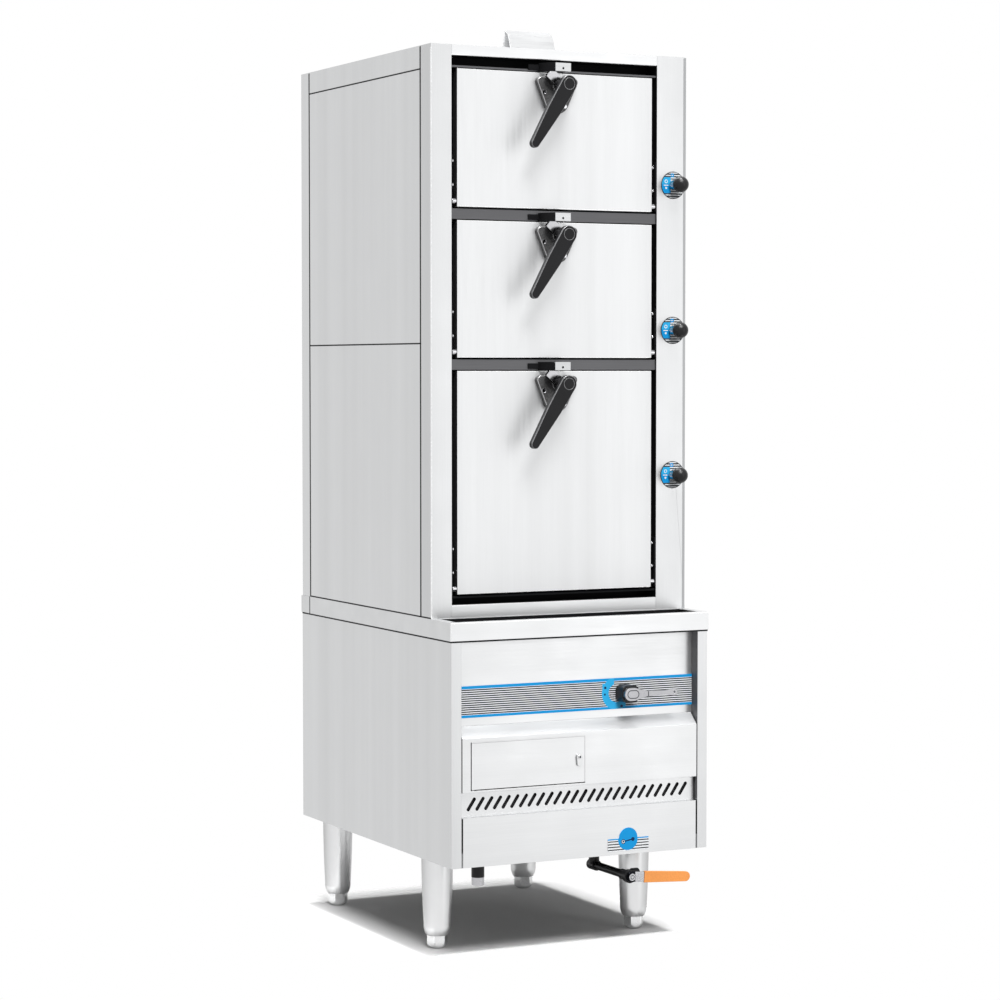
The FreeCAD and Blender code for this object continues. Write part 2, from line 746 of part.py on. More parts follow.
def control_panel():
    x = STILE_EDGE
    sheet = block(-x, x, PANEL_FRONT, PANEL_FRONT + SHEET, SLOPE_TOP, GUTTER_UNDER)
    return sheet.cut(rod((GAS_X, PANEL_FRONT, GAS_HEIGHT), Y_AXIS, GAS_HOLE_RADIUS, SHEET))


def access_box(grow):
    """The access door's outline, grown on every side, as (x0, x1, z0, z1)."""
    x0 = LEFT + ACCESS_LEFT
    return (
        x0 - grow,
        x0 + ACCESS_WIDTH + grow,
        ACCESS_LOW - grow,
        ACCESS_LOW + ACCESS_HEIGHT + grow,
    )


def lower_panel():
    """The flush panel below the slope, in sheets round the access window."""
    half = STILE_EDGE - PANEL_SEAM
    front, back = BASE_FRONT, BASE_FRONT + SHEET
    low, high = LOWER_PANEL_BOTTOM, SLOPE_BOTTOM
    slope = prism_x(
        [(front, high), (PANEL_FRONT, SLOPE_TOP), (PANEL_FRONT + SHEET, SLOPE_TOP), (back, high)],
        -half,
        half,
    )
    x0, x1, z0, z1 = access_box(ACCESS_GAP)
    deep = BASE_FRONT + ACCESS_RETURN + ACCESS_FLANGE
    return [
        slope,
        block(-half, x0, front, back, low, high),
        block(x1, half, front, back, low, high),
        block(x0, x1, front, back, z1, high),
        block(x0, x1, front, back, low, z0),
        block(x0, x1, back, deep, z0 - SHEET, z0),
        block(x0, x1, back, deep, z1, z1 + SHEET),
    ]


def grille_slot(x, z, y0, y1):
    radius = GRILLE_SLOT_WIDTH / 2
    low = Vector(x, y0, z)
    high = Vector(x + GRILLE_SLOT_LEAN, y0, z + GRILLE_SLOT_RISE)
    along = high.sub(low)
    side = Vector(-along.z, 0, along.x).normalize() * radius
    corners = [low.add(side), high.add(side), high.sub(side), low.sub(side)]
    bar = Part.Face(Part.makePolygon(corners + corners[:1])).extrude(Vector(0, y1 - y0, 0))
    ends = [rod((p.x, y0, p.z), Y_AXIS, radius, y1 - y0) for p in (low, high)]
    return union(bar, *ends)


def vent_grille():
    half = STILE_EDGE - PANEL_SEAM
    y0 = BASE_FRONT + GRILLE_RECESS
    y1 = y0 + SHEET
    low, high = APRON_TOP - GRILLE_LAP, LOWER_PANEL_BOTTOM + GRILLE_LAP
    web = block(-half, half, y0, y1, low, high)
    lips = [
        block(-half, half, BASE_FRONT + SHEET, y0, low, low + SHEET),
        block(-half, half, BASE_FRONT + SHEET, y0, high - SHEET, high),
    ]
    shape = union(web, *lips)
    first = -(GRILLE_SLOTS - 1) * GRILLE_PITCH / 2 - GRILLE_SLOT_LEAN / 2
    middle = (APRON_TOP + LOWER_PANEL_BOTTOM) / 2
    slots = [
        grille_slot(first + i * GRILLE_PITCH, middle - GRILLE_SLOT_RISE / 2, y0 - 1, y1 + 1)
        for i in range(GRILLE_SLOTS)
    ]
    return shape.cut(Part.makeCompound(slots))


def apron_panel():
    half = STILE_EDGE - APRON_SEAM
    return block(-half, half, BASE_FRONT, BASE_FRONT + SHEET, BODY_BOTTOM, APRON_TOP)


# Upper shell
def front_stile(outer, inner, side):
    """A C-shaped front post; side is -1 on the left and 1 on the right."""
    x0, x1 = min(outer, inner), max(outer, inner)
    low, high = RIM_TOP, CABINET_TOP
    face = block(x0, x1, UPPER_FRONT, UPPER_FRONT + SHEET, low, high)
    wall_x = outer - SHEET if side > 0 else outer
    wall = block(
        wall_x, wall_x + SHEET, UPPER_FRONT + SHEET, UPPER_FRONT + SIDE_POST, low, high
    )
    jamb_x = inner if side > 0 else inner - SHEET
    jamb = block(jamb_x, jamb_x + SHEET, UPPER_FRONT + SHEET, FACE_FRONT, low, high - SHEET)
    lip_x = wall_x - SHEET if side > 0 else wall_x + SHEET
    lip_y = UPPER_FRONT + SIDE_POST
    lip = block(lip_x, lip_x + SHEET, lip_y - POST_LIP, lip_y + POST_LIP, low, high - SHEET)
    return union(face, wall, jamb, lip)


def front_frame():
    left = front_stile(LEFT, OPENING_LEFT, -1)
    right = front_stile(RIGHT, OPENING_RIGHT, 1)
    hole = KNOB_SPINDLE_RADIUS + STILE_HOLE_CLEARANCE
    for z in KNOBS.values():
        right = right.cut(rod((KNOB_X, UPPER_FRONT, z), Y_AXIS, hole, SHEET))
    rails = []
    for low, high, soffit in (
        (OPENING_TOP, CABINET_TOP, OPENING_TOP),
        (RIM_TOP, OPENING_BOTTOM, OPENING_BOTTOM - SHEET),
    ):
        face = block(OPENING_LEFT, OPENING_RIGHT, UPPER_FRONT, UPPER_FRONT + SHEET, low, high)
        inner = block(
            OPENING_LEFT, OPENING_RIGHT, UPPER_FRONT + SHEET, FACE_FRONT, soffit, soffit + SHEET
        )
        rails.append(union(face, inner))
    return [left, right] + rails


def side_shell():
    """Rear posts, top rails and infill panels of both sides."""
    solids = []
    post_front = BACK - REAR_POST
    front_end = UPPER_FRONT + SIDE_POST
    rail_low = CABINET_TOP - SIDE_TOP_RAIL
    lip_low, lip_high = post_front - POST_LIP, post_front + POST_LIP
    for side in (-1, 1):
        wall_x = RIGHT - SHEET if side > 0 else LEFT
        lip_x = wall_x - side * SHEET
        wall = block(wall_x, wall_x + SHEET, post_front, BACK, RIM_TOP, CABINET_TOP)
        ends = sorted((side * (RIGHT - REAR_POST), side * (RIGHT - SHEET)))
        back = block(ends[0], ends[1], INNER_BACK, BACK, RIM_TOP, CABINET_TOP)
        lip = block(lip_x, lip_x + SHEET, lip_low, lip_high, RIM_TOP, CABINET_TOP - SHEET)
        solids.append(union(wall, back, lip))
        y0, y1 = front_end + SEAM, post_front - SEAM
        for low, high in (
            (RIM_TOP, SIDE_SEAM_HEIGHT),
            (SIDE_SEAM_HEIGHT + SEAM, rail_low),
            (rail_low + SEAM, CABINET_TOP),
        ):
            solids.append(block(wall_x, wall_x + SHEET, y0, y1, low, high))
    return solids


def roof_panel():
    x = RIGHT - SHEET
    low = CABINET_TOP - SHEET
    return round_vent(-x, x, UPPER_FRONT + SHEET, INNER_BACK, low, CABINET_TOP, VENT_WIDTH)


def vent_middle():
    return UPPER_FRONT + HOOD_SETBACK + HOOD_BASE_DEPTH / 2


def round_vent(x0, x1, y0, y1, low, high, width):
    """Four blocks that leave the vent's square hole open between them."""
    half = width / 2
    y = vent_middle()
    return [
        block(x0, x1, y0, y - half, low, high),
        block(x0, x1, y + half, y1, low, high),
        block(x0, -half, y - half, y + half, low, high),
        block(half, x1, y - half, y + half, low, high),
    ]


def vent_hood():
    """A bent hood, open at both ends, over a square duct from the top chamber."""
    y0 = UPPER_FRONT + HOOD_SETBACK
    y1 = y0 + HOOD_BASE_DEPTH
    lean = (HOOD_BASE_DEPTH - HOOD_RIDGE_DEPTH) / 2
    base = CABINET_TOP
    front_top = (y0 + lean, base + HOOD_FRONT_HEIGHT)
    back_top = (y1 - lean, base + HOOD_HEIGHT)
    front_under = (front_top[0] + HOOD_FRONT_SHEET, front_top[1] - HOOD_RIDGE_SHEET / 2)
    back_under = (back_top[0] - HOOD_BACK_SHEET, back_top[1] - HOOD_RIDGE_SHEET)
    outlines = [
        [(y0, base), front_top, front_under, (y0 + HOOD_FRONT_SHEET, base)],
        [front_top, back_top, back_under, front_under],
        [back_top, (y1, base), (y1 - HOOD_BACK_SHEET, base), back_under],
    ]
    half = HOOD_WIDTH / 2
    sheets = [prism_x(outline, -half, half) for outline in outlines]
    low = chamber_span(*DOORS["top"])[1] + SHEET
    high = CABINET_TOP + VENT_RISE
    middle = vent_middle()
    half = VENT_WIDTH / 2
    inside = VENT_WIDTH - 2 * VENT_WALL
    return sheets + round_vent(-half, half, middle - half, middle + half, low, high, inside)


def chamber_span(low, high):
    """The inside heights of the chamber behind a door."""
    return low + CHAMBER_INSET, high - CHAMBER_INSET


def face_frame():
    """The sheet bars that the door seals press on."""
    y0, y1 = FACE_FRONT, FACE_FRONT + SHEET
    x0, x1 = OPENING_LEFT - SHEET, OPENING_RIGHT + SHEET
    bars = [
        block(x0, CHAMBER_LEFT, y0, y1, RIM_TOP, CABINET_TOP - SHEET),
        block(CHAMBER_RIGHT, x1, y0, y1, RIM_TOP, CABINET_TOP - SHEET),
    ]
    spans = sorted(chamber_span(*DOORS[name]) for name in DOORS)
    lows = [RIM_TOP] + [span[1] for span in spans]
    highs = [span[0] for span in spans] + [CABINET_TOP - SHEET]
    for low, high in zip(lows, highs):
        bars.append(block(CHAMBER_LEFT, CHAMBER_RIGHT, y0, y1, low, high))
    return bars


def divider_rails():
    """The dark rails between the doors, and the strips above and below them."""
    y0 = UPPER_FRONT + DIVIDER_RECESS
    solids = []
    for name in ("middle", "bottom"):
        top = DOORS[name][1] + DIVIDER_GAP - DIVIDER_TOP_GAP
        low = DOORS[name][1] + DIVIDER_BOTTOM_GAP
        tube = block(OPENING_LEFT, OPENING_RIGHT, y0, FACE_FRONT, low, top)
        core = block(
            OPENING_LEFT, OPENING_RIGHT, y0 + SHEET, FACE_FRONT, low + SHEET, top - SHEET
        )
        solids.append(tube.cut(core))
    head = DOORS["top"][1] + DIVIDER_BOTTOM_GAP
    sill = DOORS["bottom"][0] - DIVIDER_TOP_GAP
    for low in (head, sill - STRIP_HEIGHT):
        solids.append(
            block(OPENING_LEFT, OPENING_RIGHT, y0, FACE_FRONT, low, low + STRIP_HEIGHT)
        )
    return solids


def chamber_liners():
    solids = []
    x0, x1 = CHAMBER_LEFT, CHAMBER_RIGHT
    for name in DOORS:
        z0, z1 = chamber_span(*DOORS[name])
        y0, y1 = LINER_FRONT, LINER_BACK
        if name == "top":
            solids += round_vent(x0, x1, y0, y1, z1, z1 + SHEET, VENT_WIDTH - 2 * VENT_WALL)
        else:
            solids.append(block(x0, x1, y0, y1, z1, z1 + SHEET))
        right = block(x1, x1 + SHEET, y0, y1, z0 - SHEET, z1 + SHEET)
        branch = UPPER_FRONT + BRANCH_SETBACK
        right = right.cut(rod((x1, branch, KNOBS[name]), X_AXIS, BRANCH_RADIUS, SHEET))
        solids += [
            block(x0, x1, y0, y1, z0 - SHEET, z0),
            block(x0 - SHEET, x0, y0, y1, z0 - SHEET, z1 + SHEET),
            right,
            block(x0, x1, y1 - SHEET, y1, z0, z1),
        ]
    return solids


def shelf_heights():
    rises = {"top": (UPPER_SHELF_RISE,), "middle": (UPPER_SHELF_RISE,), "bottom": LOWER_SHELF_RISES}
    heights = []
    for name in DOORS:
        floor = chamber_span(*DOORS[name])[0]
        heights += [floor + rise for rise in rises[name]]
    return heights


def shelf_runners():
    t = RUNNER_THICKNESS
    solids = []
    y0, y1 = LINER_FRONT + RUNNER_SETBACK, LINER_BACK - RUNNER_SETBACK
    for z in shelf_heights():
        for side in (-1, 1):
            wall = CHAMBER_LEFT if side < 0 else CHAMBER_RIGHT
            x_in = wall - side * RUNNER_LEG
            flat = block(min(wall, x_in), max(wall, x_in), y0, y1, z - t, z)
            up_x = wall if side < 0 else wall - t
            upright = block(up_x, up_x + t, y0, y1, z - RUNNER_LEG, z - t)
            solids.append(union(flat, upright))
    return solids


def shelves():
    """Slotted shelf plates, each with a raised lip at its front and back."""
    solids = []
    x0 = CHAMBER_LEFT + RUNNER_THICKNESS + SHELF_CLEARANCE
    x1 = CHAMBER_RIGHT - RUNNER_THICKNESS - SHELF_CLEARANCE
    y0, y1 = LINER_FRONT + SHELF_SETBACK, LINER_BACK - SHELF_SETBACK
    pitch = (y1 - y0 - 2 * SHELF_BORDER) / SHELF_SLOTS
    for z in shelf_heights():
        slots = []
        for i in range(SHELF_SLOTS):
            middle = y0 + SHELF_BORDER + (i + 0.5) * pitch
            slots.append(
                block(
                    x0 + SHELF_BORDER,
                    x1 - SHELF_BORDER,
                    middle - SHELF_SLOT_WIDTH / 2,
                    middle + SHELF_SLOT_WIDTH / 2,
                    z,
                    z + SHEET,
                )
            )
        solids.append(block(x0, x1, y0, y1, z, z + SHEET).cut(Part.makeCompound(slots)))
        solids.append(block(x0, x1, y0, y0 + SHEET, z + SHEET, z + SHELF_LIP))
        solids.append(block(x0, x1, y1 - SHEET, y1, z + SHEET, z + SHELF_LIP))
    return solids


def insulation_batts():
    """Batts beside, behind, between, under and over the chambers."""
    g = BATT_GAP
    top = CABINET_TOP - SHEET - g
    y0 = LINER_FRONT + SIDE_BATT_SETBACK
    left_wall = LEFT + 2 * SHEET + g
    left = block(left_wall, CHAMBER_LEFT - SHEET - g, y0, LINER_BACK, RIM_TOP, top)
    right_x = CHAMBER_RIGHT + SHEET + g
    right = block(right_x, right_x + RIGHT_BATT_THICKNESS, y0, LINER_BACK, RIM_TOP, top)
    back = block(left_wall, -left_wall, LINER_BACK + g, INNER_BACK - g, RIM_TOP, top)
    spans = sorted(chamber_span(*DOORS[name]) for name in DOORS)
    lows = [RIM_TOP] + [span[1] + SHEET for span in spans]
    highs = [span[0] - SHEET for span in spans] + [top + g]
    between = [
        block(CHAMBER_LEFT, CHAMBER_RIGHT, LINER_FRONT + g, LINER_BACK, low, high - g)
        for low, high in zip(lows[:-1], highs[:-1])
    ]
    over = round_vent(
        CHAMBER_LEFT, CHAMBER_RIGHT, LINER_FRONT + g, LINER_BACK, lows[-1], top, VENT_WIDTH
    )
    return [left, right, back] + between + over


# Steam supply
def steam_manifold():
    """The riser on the right, its feed from the boiler and three valve bodies."""
    y = UPPER_FRONT + MANIFOLD_SETBACK
    low = MANIFOLD_LOW
    high = KNOBS["top"] + MANIFOLD_END
    riser = pipe((KNOB_X, y, low), Z_AXIS, MANIFOLD_RADIUS, MANIFOLD_WALL, high - low)
    ends = [
        rod((KNOB_X, y, high), Z_AXIS, MANIFOLD_RADIUS, MANIFOLD_CAP),
        rod((KNOB_X, y, low - MANIFOLD_CAP), Z_AXIS, MANIFOLD_RADIUS, MANIFOLD_CAP),
    ]
    tank_side = boiler_box()[1]
    feed = rod((tank_side, y, low + STEAM_FEED_RISE), X_AXIS, STEAM_FEED_RADIUS, KNOB_X - tank_side)
    room = rod((KNOB_X, y, low), Z_AXIS, MANIFOLD_RADIUS, high - low)
    solids = [riser, feed.cut(room)] + ends
    front = UPPER_FRONT + VALVE_FRONT
    branch_y = UPPER_FRONT + BRANCH_SETBACK
    branch_radius = BRANCH_RADIUS - BRANCH_CLEARANCE
    for z in KNOBS.values():
        body = rod((KNOB_X, front, z), Y_AXIS, VALVE_RADIUS, VALVE_LENGTH)
        neck = rod((KNOB_X, front, z), Y_AXIS, VALVE_NECK_RADIUS, y - front)
        bonnet = rod((KNOB_X, front - BONNET_LENGTH, z), Y_AXIS, VALVE_NECK_RADIUS, BONNET_LENGTH)
        branch = rod((CHAMBER_RIGHT, branch_y, z), X_AXIS, branch_radius, KNOB_X - CHAMBER_RIGHT)
        bore = rod(
            (KNOB_X, front - BONNET_LENGTH, z),
            Y_AXIS,
            KNOB_SPINDLE_RADIUS + KNOB_SPINDLE_CLEARANCE,
            BONNET_LENGTH + SPINDLE_BORE_DEPTH,
        )
        solids.append(union(body, neck, bonnet, branch).cut(bore).cut(room))
    return solids


def steam_knob(z):
    """A ball knob in one piece with its neck and spindle."""
    ball_y = UPPER_FRONT - KNOB_STANDOFF
    ball = Part.makeSphere(KNOB_BALL_RADIUS, Vector(KNOB_X, ball_y, z))
    neck_length = KNOB_STANDOFF - PLATE_THICKNESS - KNOB_BACK_GAP
    neck = Part.makeCone(
        KNOB_NECK_RADIUS + 2.0, KNOB_NECK_RADIUS, neck_length, Vector(KNOB_X, ball_y, z), Y_AXIS
    )
    end = UPPER_FRONT + VALVE_FRONT + SPINDLE_BORE_DEPTH - SPINDLE_END_GAP
    spindle = rod((KNOB_X, ball_y, z), Y_AXIS, KNOB_SPINDLE_RADIUS, end - ball_y)
    return union(ball, neck, spindle)


def printed_plates():
    """Thin printed plates: three dials, the striped band and the drain's dial."""
    t = PLATE_THICKNESS
    plates = []
    for z in KNOBS.values():
        disc = rod((KNOB_X, UPPER_FRONT - t, z), Y_AXIS, DIAL_RADIUS, t)
        hole = KNOB_SPINDLE_RADIUS + STILE_HOLE_CLEARANCE
        plates.append(disc.cut(rod((KNOB_X, UPPER_FRONT - t, z), Y_AXIS, hole, t)))
    x = STILE_EDGE
    band = block(-x, x, PANEL_FRONT - t, PANEL_FRONT, BAND_LOW, BAND_LOW + BAND_HEIGHT)
    hole = rod((GAS_X, PANEL_FRONT - t, GAS_HEIGHT), Y_AXIS, GAS_HOLE_RADIUS, t)
    plates.append(band.cut(hole))
    x, z = DRAIN_DIAL_X, DRAIN_DIAL_HEIGHT
    wide, tall = DRAIN_DIAL_PLATE
    plate = block(x - wide / 2, x + wide / 2, BASE_FRONT - t, BASE_FRONT, z - tall, z)
    disc = rod((x, BASE_FRONT - t, z), Y_AXIS, DRAIN_DIAL_RADIUS, t)
    plates.append(union(plate, disc))
    return plates


# Boiler, burner and pipes
def boiler_box():
    return (
        LEFT + BOILER_SIDE,
        RIGHT - BOILER_SIDE,
        BASE_FRONT + BOILER_FRONT_GAP,
        INNER_BACK - BOILER_BACK_GAP,
        BOILER_BOTTOM,
        BOILER_TOP,
    )


def boiler_tank():
    x0, x1, y0, y1, z0, z1 = boiler_box()
    w = BOILER_WALL
    shell = block(x0, x1, y0, y1, z0, z1).cut(
        block(x0 + w, x1 - w, y0 + w, y1 - w, z0 + w, z1 - w)
    )
    drain = rod((DRAIN_VALVE_X, drain_tee_y(), z0), Z_AXIS, DRAIN_HOLE_RADIUS, w)
    return shell.cut(drain)


def drain_tee_y():
    return BASE_FRONT + DRAIN_TEE_SETBACK


def burner_middle():
    x0, x1, y0, y1, z0, z1 = boiler_box()
    return (x0 + x1) / 2, (y0 + y1) / 2 + BURNER_SHIFT


def burner():
    """A ring burner on four legs and two cradle bars."""
    x, y = burner_middle()
    body = rod((x, y, BURNER_BOTTOM), Z_AXIS, BURNER_RADIUS, BURNER_HEIGHT)
    body = body.cut(rod((x, y, BURNER_BOTTOM), Z_AXIS, BURNER_HOLE, BURNER_HEIGHT))
    port_low = BURNER_BOTTOM + BURNER_HEIGHT - BURNER_PORT_DEPTH
    ports = []
    for ring, count in BURNER_PORT_RINGS:
        for i in range(count):
            angle = 2 * math.pi * i / count
            start = (x + ring * math.cos(angle), y + ring * math.sin(angle), port_low)
            ports.append(rod(start, Z_AXIS, BURNER_PORT_RADIUS, BURNER_PORT_DEPTH))
    body = body.cut(Part.makeCompound(ports))
    low = BODY_BOTTOM + TUBE
    high = low + CRADLE_THICKNESS
    reach = RIGHT - RAIL_FROM_SIDE + TUBE / 2
    half = CRADLE_WIDTH / 2
    bars = [
        block(-reach, reach, y + dy - half, y + dy + half, low, high)
        for dy in (-CRADLE_SPREAD, CRADLE_SPREAD)
    ]
    dx, dy = CRADLE_LEG_SPREAD
    legs = [
        rod((x + sx * dx, y + sy * dy, high), Z_AXIS, CRADLE_LEG_RADIUS, BURNER_BOTTOM - high)
        for sx in (-1, 1)
        for sy in (-1, 1)
    ]
    return [body] + bars + legs


def gas_line():
    """The gas valve, the pipe down to the burner and the supply from the rear."""
    y = PANEL_FRONT + SHEET
    x, z = GAS_X, GAS_HEIGHT
    body = rod((x, y, z), Y_AXIS, GAS_VALVE_RADIUS, GAS_VALVE_LENGTH)
    flange = rod((x, y, z), Y_AXIS, GAS_FLANGE_RADIUS, GAS_FLANGE_THICKNESS)
    bonnet = rod((x, y - SHEET, z), Y_AXIS, GAS_BONNET_RADIUS, SHEET)
    spindle = GAS_SPINDLE_RADIUS + GAS_CLEARANCE
    bore = rod((x, y - SHEET, z), Y_AXIS, spindle, GAS_SPINDLE_DEPTH + SHEET)
    valve = union(body, flange, bonnet).cut(bore)
    pipe_y = y + GAS_DROP_SETBACK
    low = BURNER_BOTTOM + BURNER_HEIGHT / 2
    bx, by = burner_middle()
    to_burner = [(x, pipe_y, z), (x, pipe_y, low), (GAS_RUN_X, pipe_y, low), (GAS_RUN_X, by, low)]
    supply = [
        (x, pipe_y, z),
        (GAS_SUPPLY_X, pipe_y, z),
        (GAS_SUPPLY_X, pipe_y, GAS_SUPPLY_HEIGHT),
        (GAS_SUPPLY_X, BACK - GAS_INLET_LENGTH, GAS_SUPPLY_HEIGHT),
    ]
    valve_room = rod((x, y, z), Y_AXIS, GAS_VALVE_RADIUS, GAS_VALVE_LENGTH)
    burner_room = rod((bx, by, BURNER_BOTTOM), Z_AXIS, BURNER_RADIUS, BURNER_HEIGHT)
    solids = [valve]
    for route in (to_burner, supply):
        for piece in pipe_route(route, GAS_PIPE_RADIUS, GAS_ELBOW_RADIUS):
            solids.append(piece.cut(valve_room).cut(burner_room))
    start = (GAS_SUPPLY_X, BACK - GAS_INLET_LENGTH, GAS_SUPPLY_HEIGHT)
    socket = rod(start, Y_AXIS, GAS_INLET_RADIUS, GAS_INLET_LENGTH)
    mouth = (GAS_SUPPLY_X, BACK - GAS_INLET_DEPTH, GAS_SUPPLY_HEIGHT)
    solids.append(socket.cut(rod(mouth, Y_AXIS, GAS_INLET_BORE, GAS_INLET_DEPTH)))
    return solids


def gas_knob():
    """The black body behind the lever, with its spindle."""
    front = RIM_FRONT - GAS_LEVER_PROUD + GAS_LEVER_THICKNESS
    back = PANEL_FRONT - GAS_KNOB_BACK_GAP
    r = GAS_KNOB_CORNER
    x = GAS_KNOB_WIDTH / 2 - r
    z = GAS_KNOB_HEIGHT / 2 - r
    body = belt_face([(x, z, r), (-x, z, r), (-x, -z, r), (x, -z, r)])
    body = placed(body.extrude(Vector(0, back - front, 0)), 0, GAS_X, front, GAS_HEIGHT)
    end = PANEL_FRONT + SHEET + GAS_SPINDLE_DEPTH - SPINDLE_END_GAP
    spindle = rod((GAS_X, back, GAS_HEIGHT), Y_AXIS, GAS_SPINDLE_RADIUS, end - back)
    return union(body, spindle)


def gas_lever():
    """A flat lever pointing right, with an oval hub and a flared end."""
    t = GAS_LEVER_THICKNESS
    ahead = (GAS_LEVER_HUB_AHEAD, 0, GAS_LEVER_HUB_RADIUS)
    neck = (GAS_LEVER_NECK_REACH, 0, GAS_LEVER_NECK_RADIUS)
    hub = belt_face([(-GAS_LEVER_HUB_BACK, 0, GAS_LEVER_HUB_RADIUS), ahead, neck, ahead])
    hub = hub.extrude(Vector(0, t, 0))
    thin = t - 2 * GAS_LEVER_STEP
    waist = GAS_LEVER_WAIST_REACH
    arm = bar(
        GAS_LEVER_ROOT_RADIUS, GAS_LEVER_WAIST_RADIUS, waist - GAS_LEVER_NECK_REACH, thin
    )
    arm.translate(Vector(GAS_LEVER_NECK_REACH, GAS_LEVER_STEP, 0))
    end = GAS_LEVER_REACH - GAS_LEVER_END_RADIUS
    flare = bar(GAS_LEVER_WAIST_RADIUS, GAS_LEVER_END_RADIUS, end - waist, thin)
    flare.translate(Vector(waist, GAS_LEVER_STEP, 0))
    hole = rod((end, 0, 0), Y_AXIS, GAS_LEVER_HOLE_RADIUS, t)
    lever = union(hub, arm, flare).cut(hole)
    return placed(lever, 0, GAS_X, RIM_FRONT - GAS_LEVER_PROUD, GAS_HEIGHT)


def drain_pipe():
    """From the boiler down to a tee, then forward into the back of the valve."""
    x, z = DRAIN_VALVE_X, DRAIN_HEIGHT
    y0 = BASE_FRONT + DRAIN_VALVE_BACK
    y1 = drain_tee_y()
    collar = DRAIN_PIPE_RADIUS + DRAIN_COLLAR
    half = DRAIN_TEE_LENGTH / 2
    tee = union(
        rod((x, y1 - half, z), Y_AXIS, collar, DRAIN_TEE_LENGTH),
        rod((x, y1, z), Z_AXIS, collar, DRAIN_TEE_RISE),
    )
    riser = rod((x, y1, z), Z_AXIS, DRAIN_PIPE_RADIUS, BOILER_BOTTOM - z)
    run = rod((x, y0, z), Y_AXIS, DRAIN_PIPE_RADIUS, y1 - y0)
    return [riser.cut(tee), run.cut(tee), tee]


def drain_valve_body():
    """An angle valve: fed from behind, outlet to the right, stem to the front."""
    x, z = DRAIN_VALVE_X, DRAIN_HEIGHT
    front = BASE_FRONT + DRAIN_FRONT_GAP
    y = BASE_FRONT + DRAIN_VALVE_SETBACK
    back = BASE_FRONT + DRAIN_VALVE_BACK
    reach = DRAIN_OUTLET_REACH
    flange = rod((x, front, z), Y_AXIS, DRAIN_FLANGE_RADIUS, DRAIN_FLANGE_LENGTH)
    body = rod((x, front, z), Y_AXIS, DRAIN_VALVE_RADIUS, back - front)
    arm = rod((x, y, z), X_AXIS, DRAIN_ARM_RADIUS, reach)
    ring_start = (x + reach - DRAIN_OUTLET_DEPTH, y, z)
    ring = rod(ring_start, X_AXIS, DRAIN_OUTLET_RING, DRAIN_OUTLET_DEPTH)
    inlet = rod((x, y, z), Y_AXIS, DRAIN_BORE, back - y)
    passage = rod((x, y, z), X_AXIS, DRAIN_ARM_BORE, reach)
    outlet = rod(ring_start, X_AXIS, DRAIN_OUTLET_RADIUS, DRAIN_OUTLET_DEPTH)
    stem = rod((x, y, z), -Y_AXIS, DRAIN_STEM_RADIUS + DRAIN_STEM_CLEARANCE, DRAIN_VALVE_SETBACK)
    valve = union(flange, body, arm, ring)
    for hole in (inlet, passage, outlet, stem):
        valve = valve.cut(hole)
    return valve


def drain_lever_bar(grow):
    """The lever's flat bar, its hub at the origin, grown by a wall all round."""
    big = DRAIN_LEVER_WIDTH / 2 + DRAIN_LEVER_TAPER
    small = DRAIN_LEVER_WIDTH / 2 - DRAIN_LEVER_TAPER
    thick = DRAIN_LEVER_THICKNESS + 2 * grow
    shape = bar(big + grow, small + grow, DRAIN_LEVER_LENGTH - small, thick)
    shape.translate(Vector(0, -grow, 0))
    return shape


def drain_place(shape):
    return placed(shape, -DRAIN_LEVER_DROOP, DRAIN_VALVE_X, BASE_FRONT, DRAIN_HEIGHT)


def drain_lever():
    plate = drain_lever_bar(0.0)
    nut_radius, nut_height = DRAIN_NUT
    nut = rod((0, -nut_height, 0), Y_AXIS, nut_radius, nut_height)
    stem = rod((0, 0, 0), Y_AXIS, DRAIN_STEM_RADIUS, DRAIN_VALVE_SETBACK - DRAIN_STEM_GAP)
    return drain_place(union(plate, nut, stem))


def drain_lever_sleeve():
    """The soft grip over the lever's outer part."""
    wall = DRAIN_SLEEVE_WALL
    thick = DRAIN_LEVER_THICKNESS
    reach = DRAIN_LEVER_LENGTH + 2 * wall
    high = DRAIN_LEVER_WIDTH
    keep = block(DRAIN_LEVER_BARE, reach, -2 * wall, thick + 2 * wall, -high, high)
    return drain_place(drain_lever_bar(wall).cut(drain_lever_bar(0.0)).common(keep))


def water_inlet():
    """The threaded stub under the apron, its pipe and the float feed box."""
    y = BASE_FRONT + INLET_SETBACK
    low = FEED_BOX_LOW
    thread = rod((INLET_X, y, INLET_BOTTOM), Z_AXIS, INLET_THREAD_RADIUS, INLET_THREAD)
    start = INLET_BOTTOM + INLET_THREAD
    stub = rod((INLET_X, y, start), Z_AXIS, INLET_RADIUS, low - start)
    bore = rod((INLET_X, y, INLET_BOTTOM), Z_AXIS, INLET_BORE, low - INLET_BOTTOM)
    x0, y0 = LEFT + FEED_BOX_LEFT, y - FEED_BOX_FRONT
    x1, y1 = x0 + FEED_BOX_WIDTH, y0 + FEED_BOX_DEPTH
    w = FEED_BOX_WALL
    high = low + FEED_BOX_HEIGHT
    box = block(x0, x1, y0, y1, low, high).cut(
        block(x0 + w, x1 - w, y0 + w, y1 - w, low + w, high - w)
    )
    link_start = (FEED_LINK_X, y1, low + FEED_LINK_RISE)
    link = rod(link_start, Y_AXIS, FEED_LINK_RADIUS, boiler_box()[2] - y1)
    return [union(thread, stub).cut(bore), box, link]


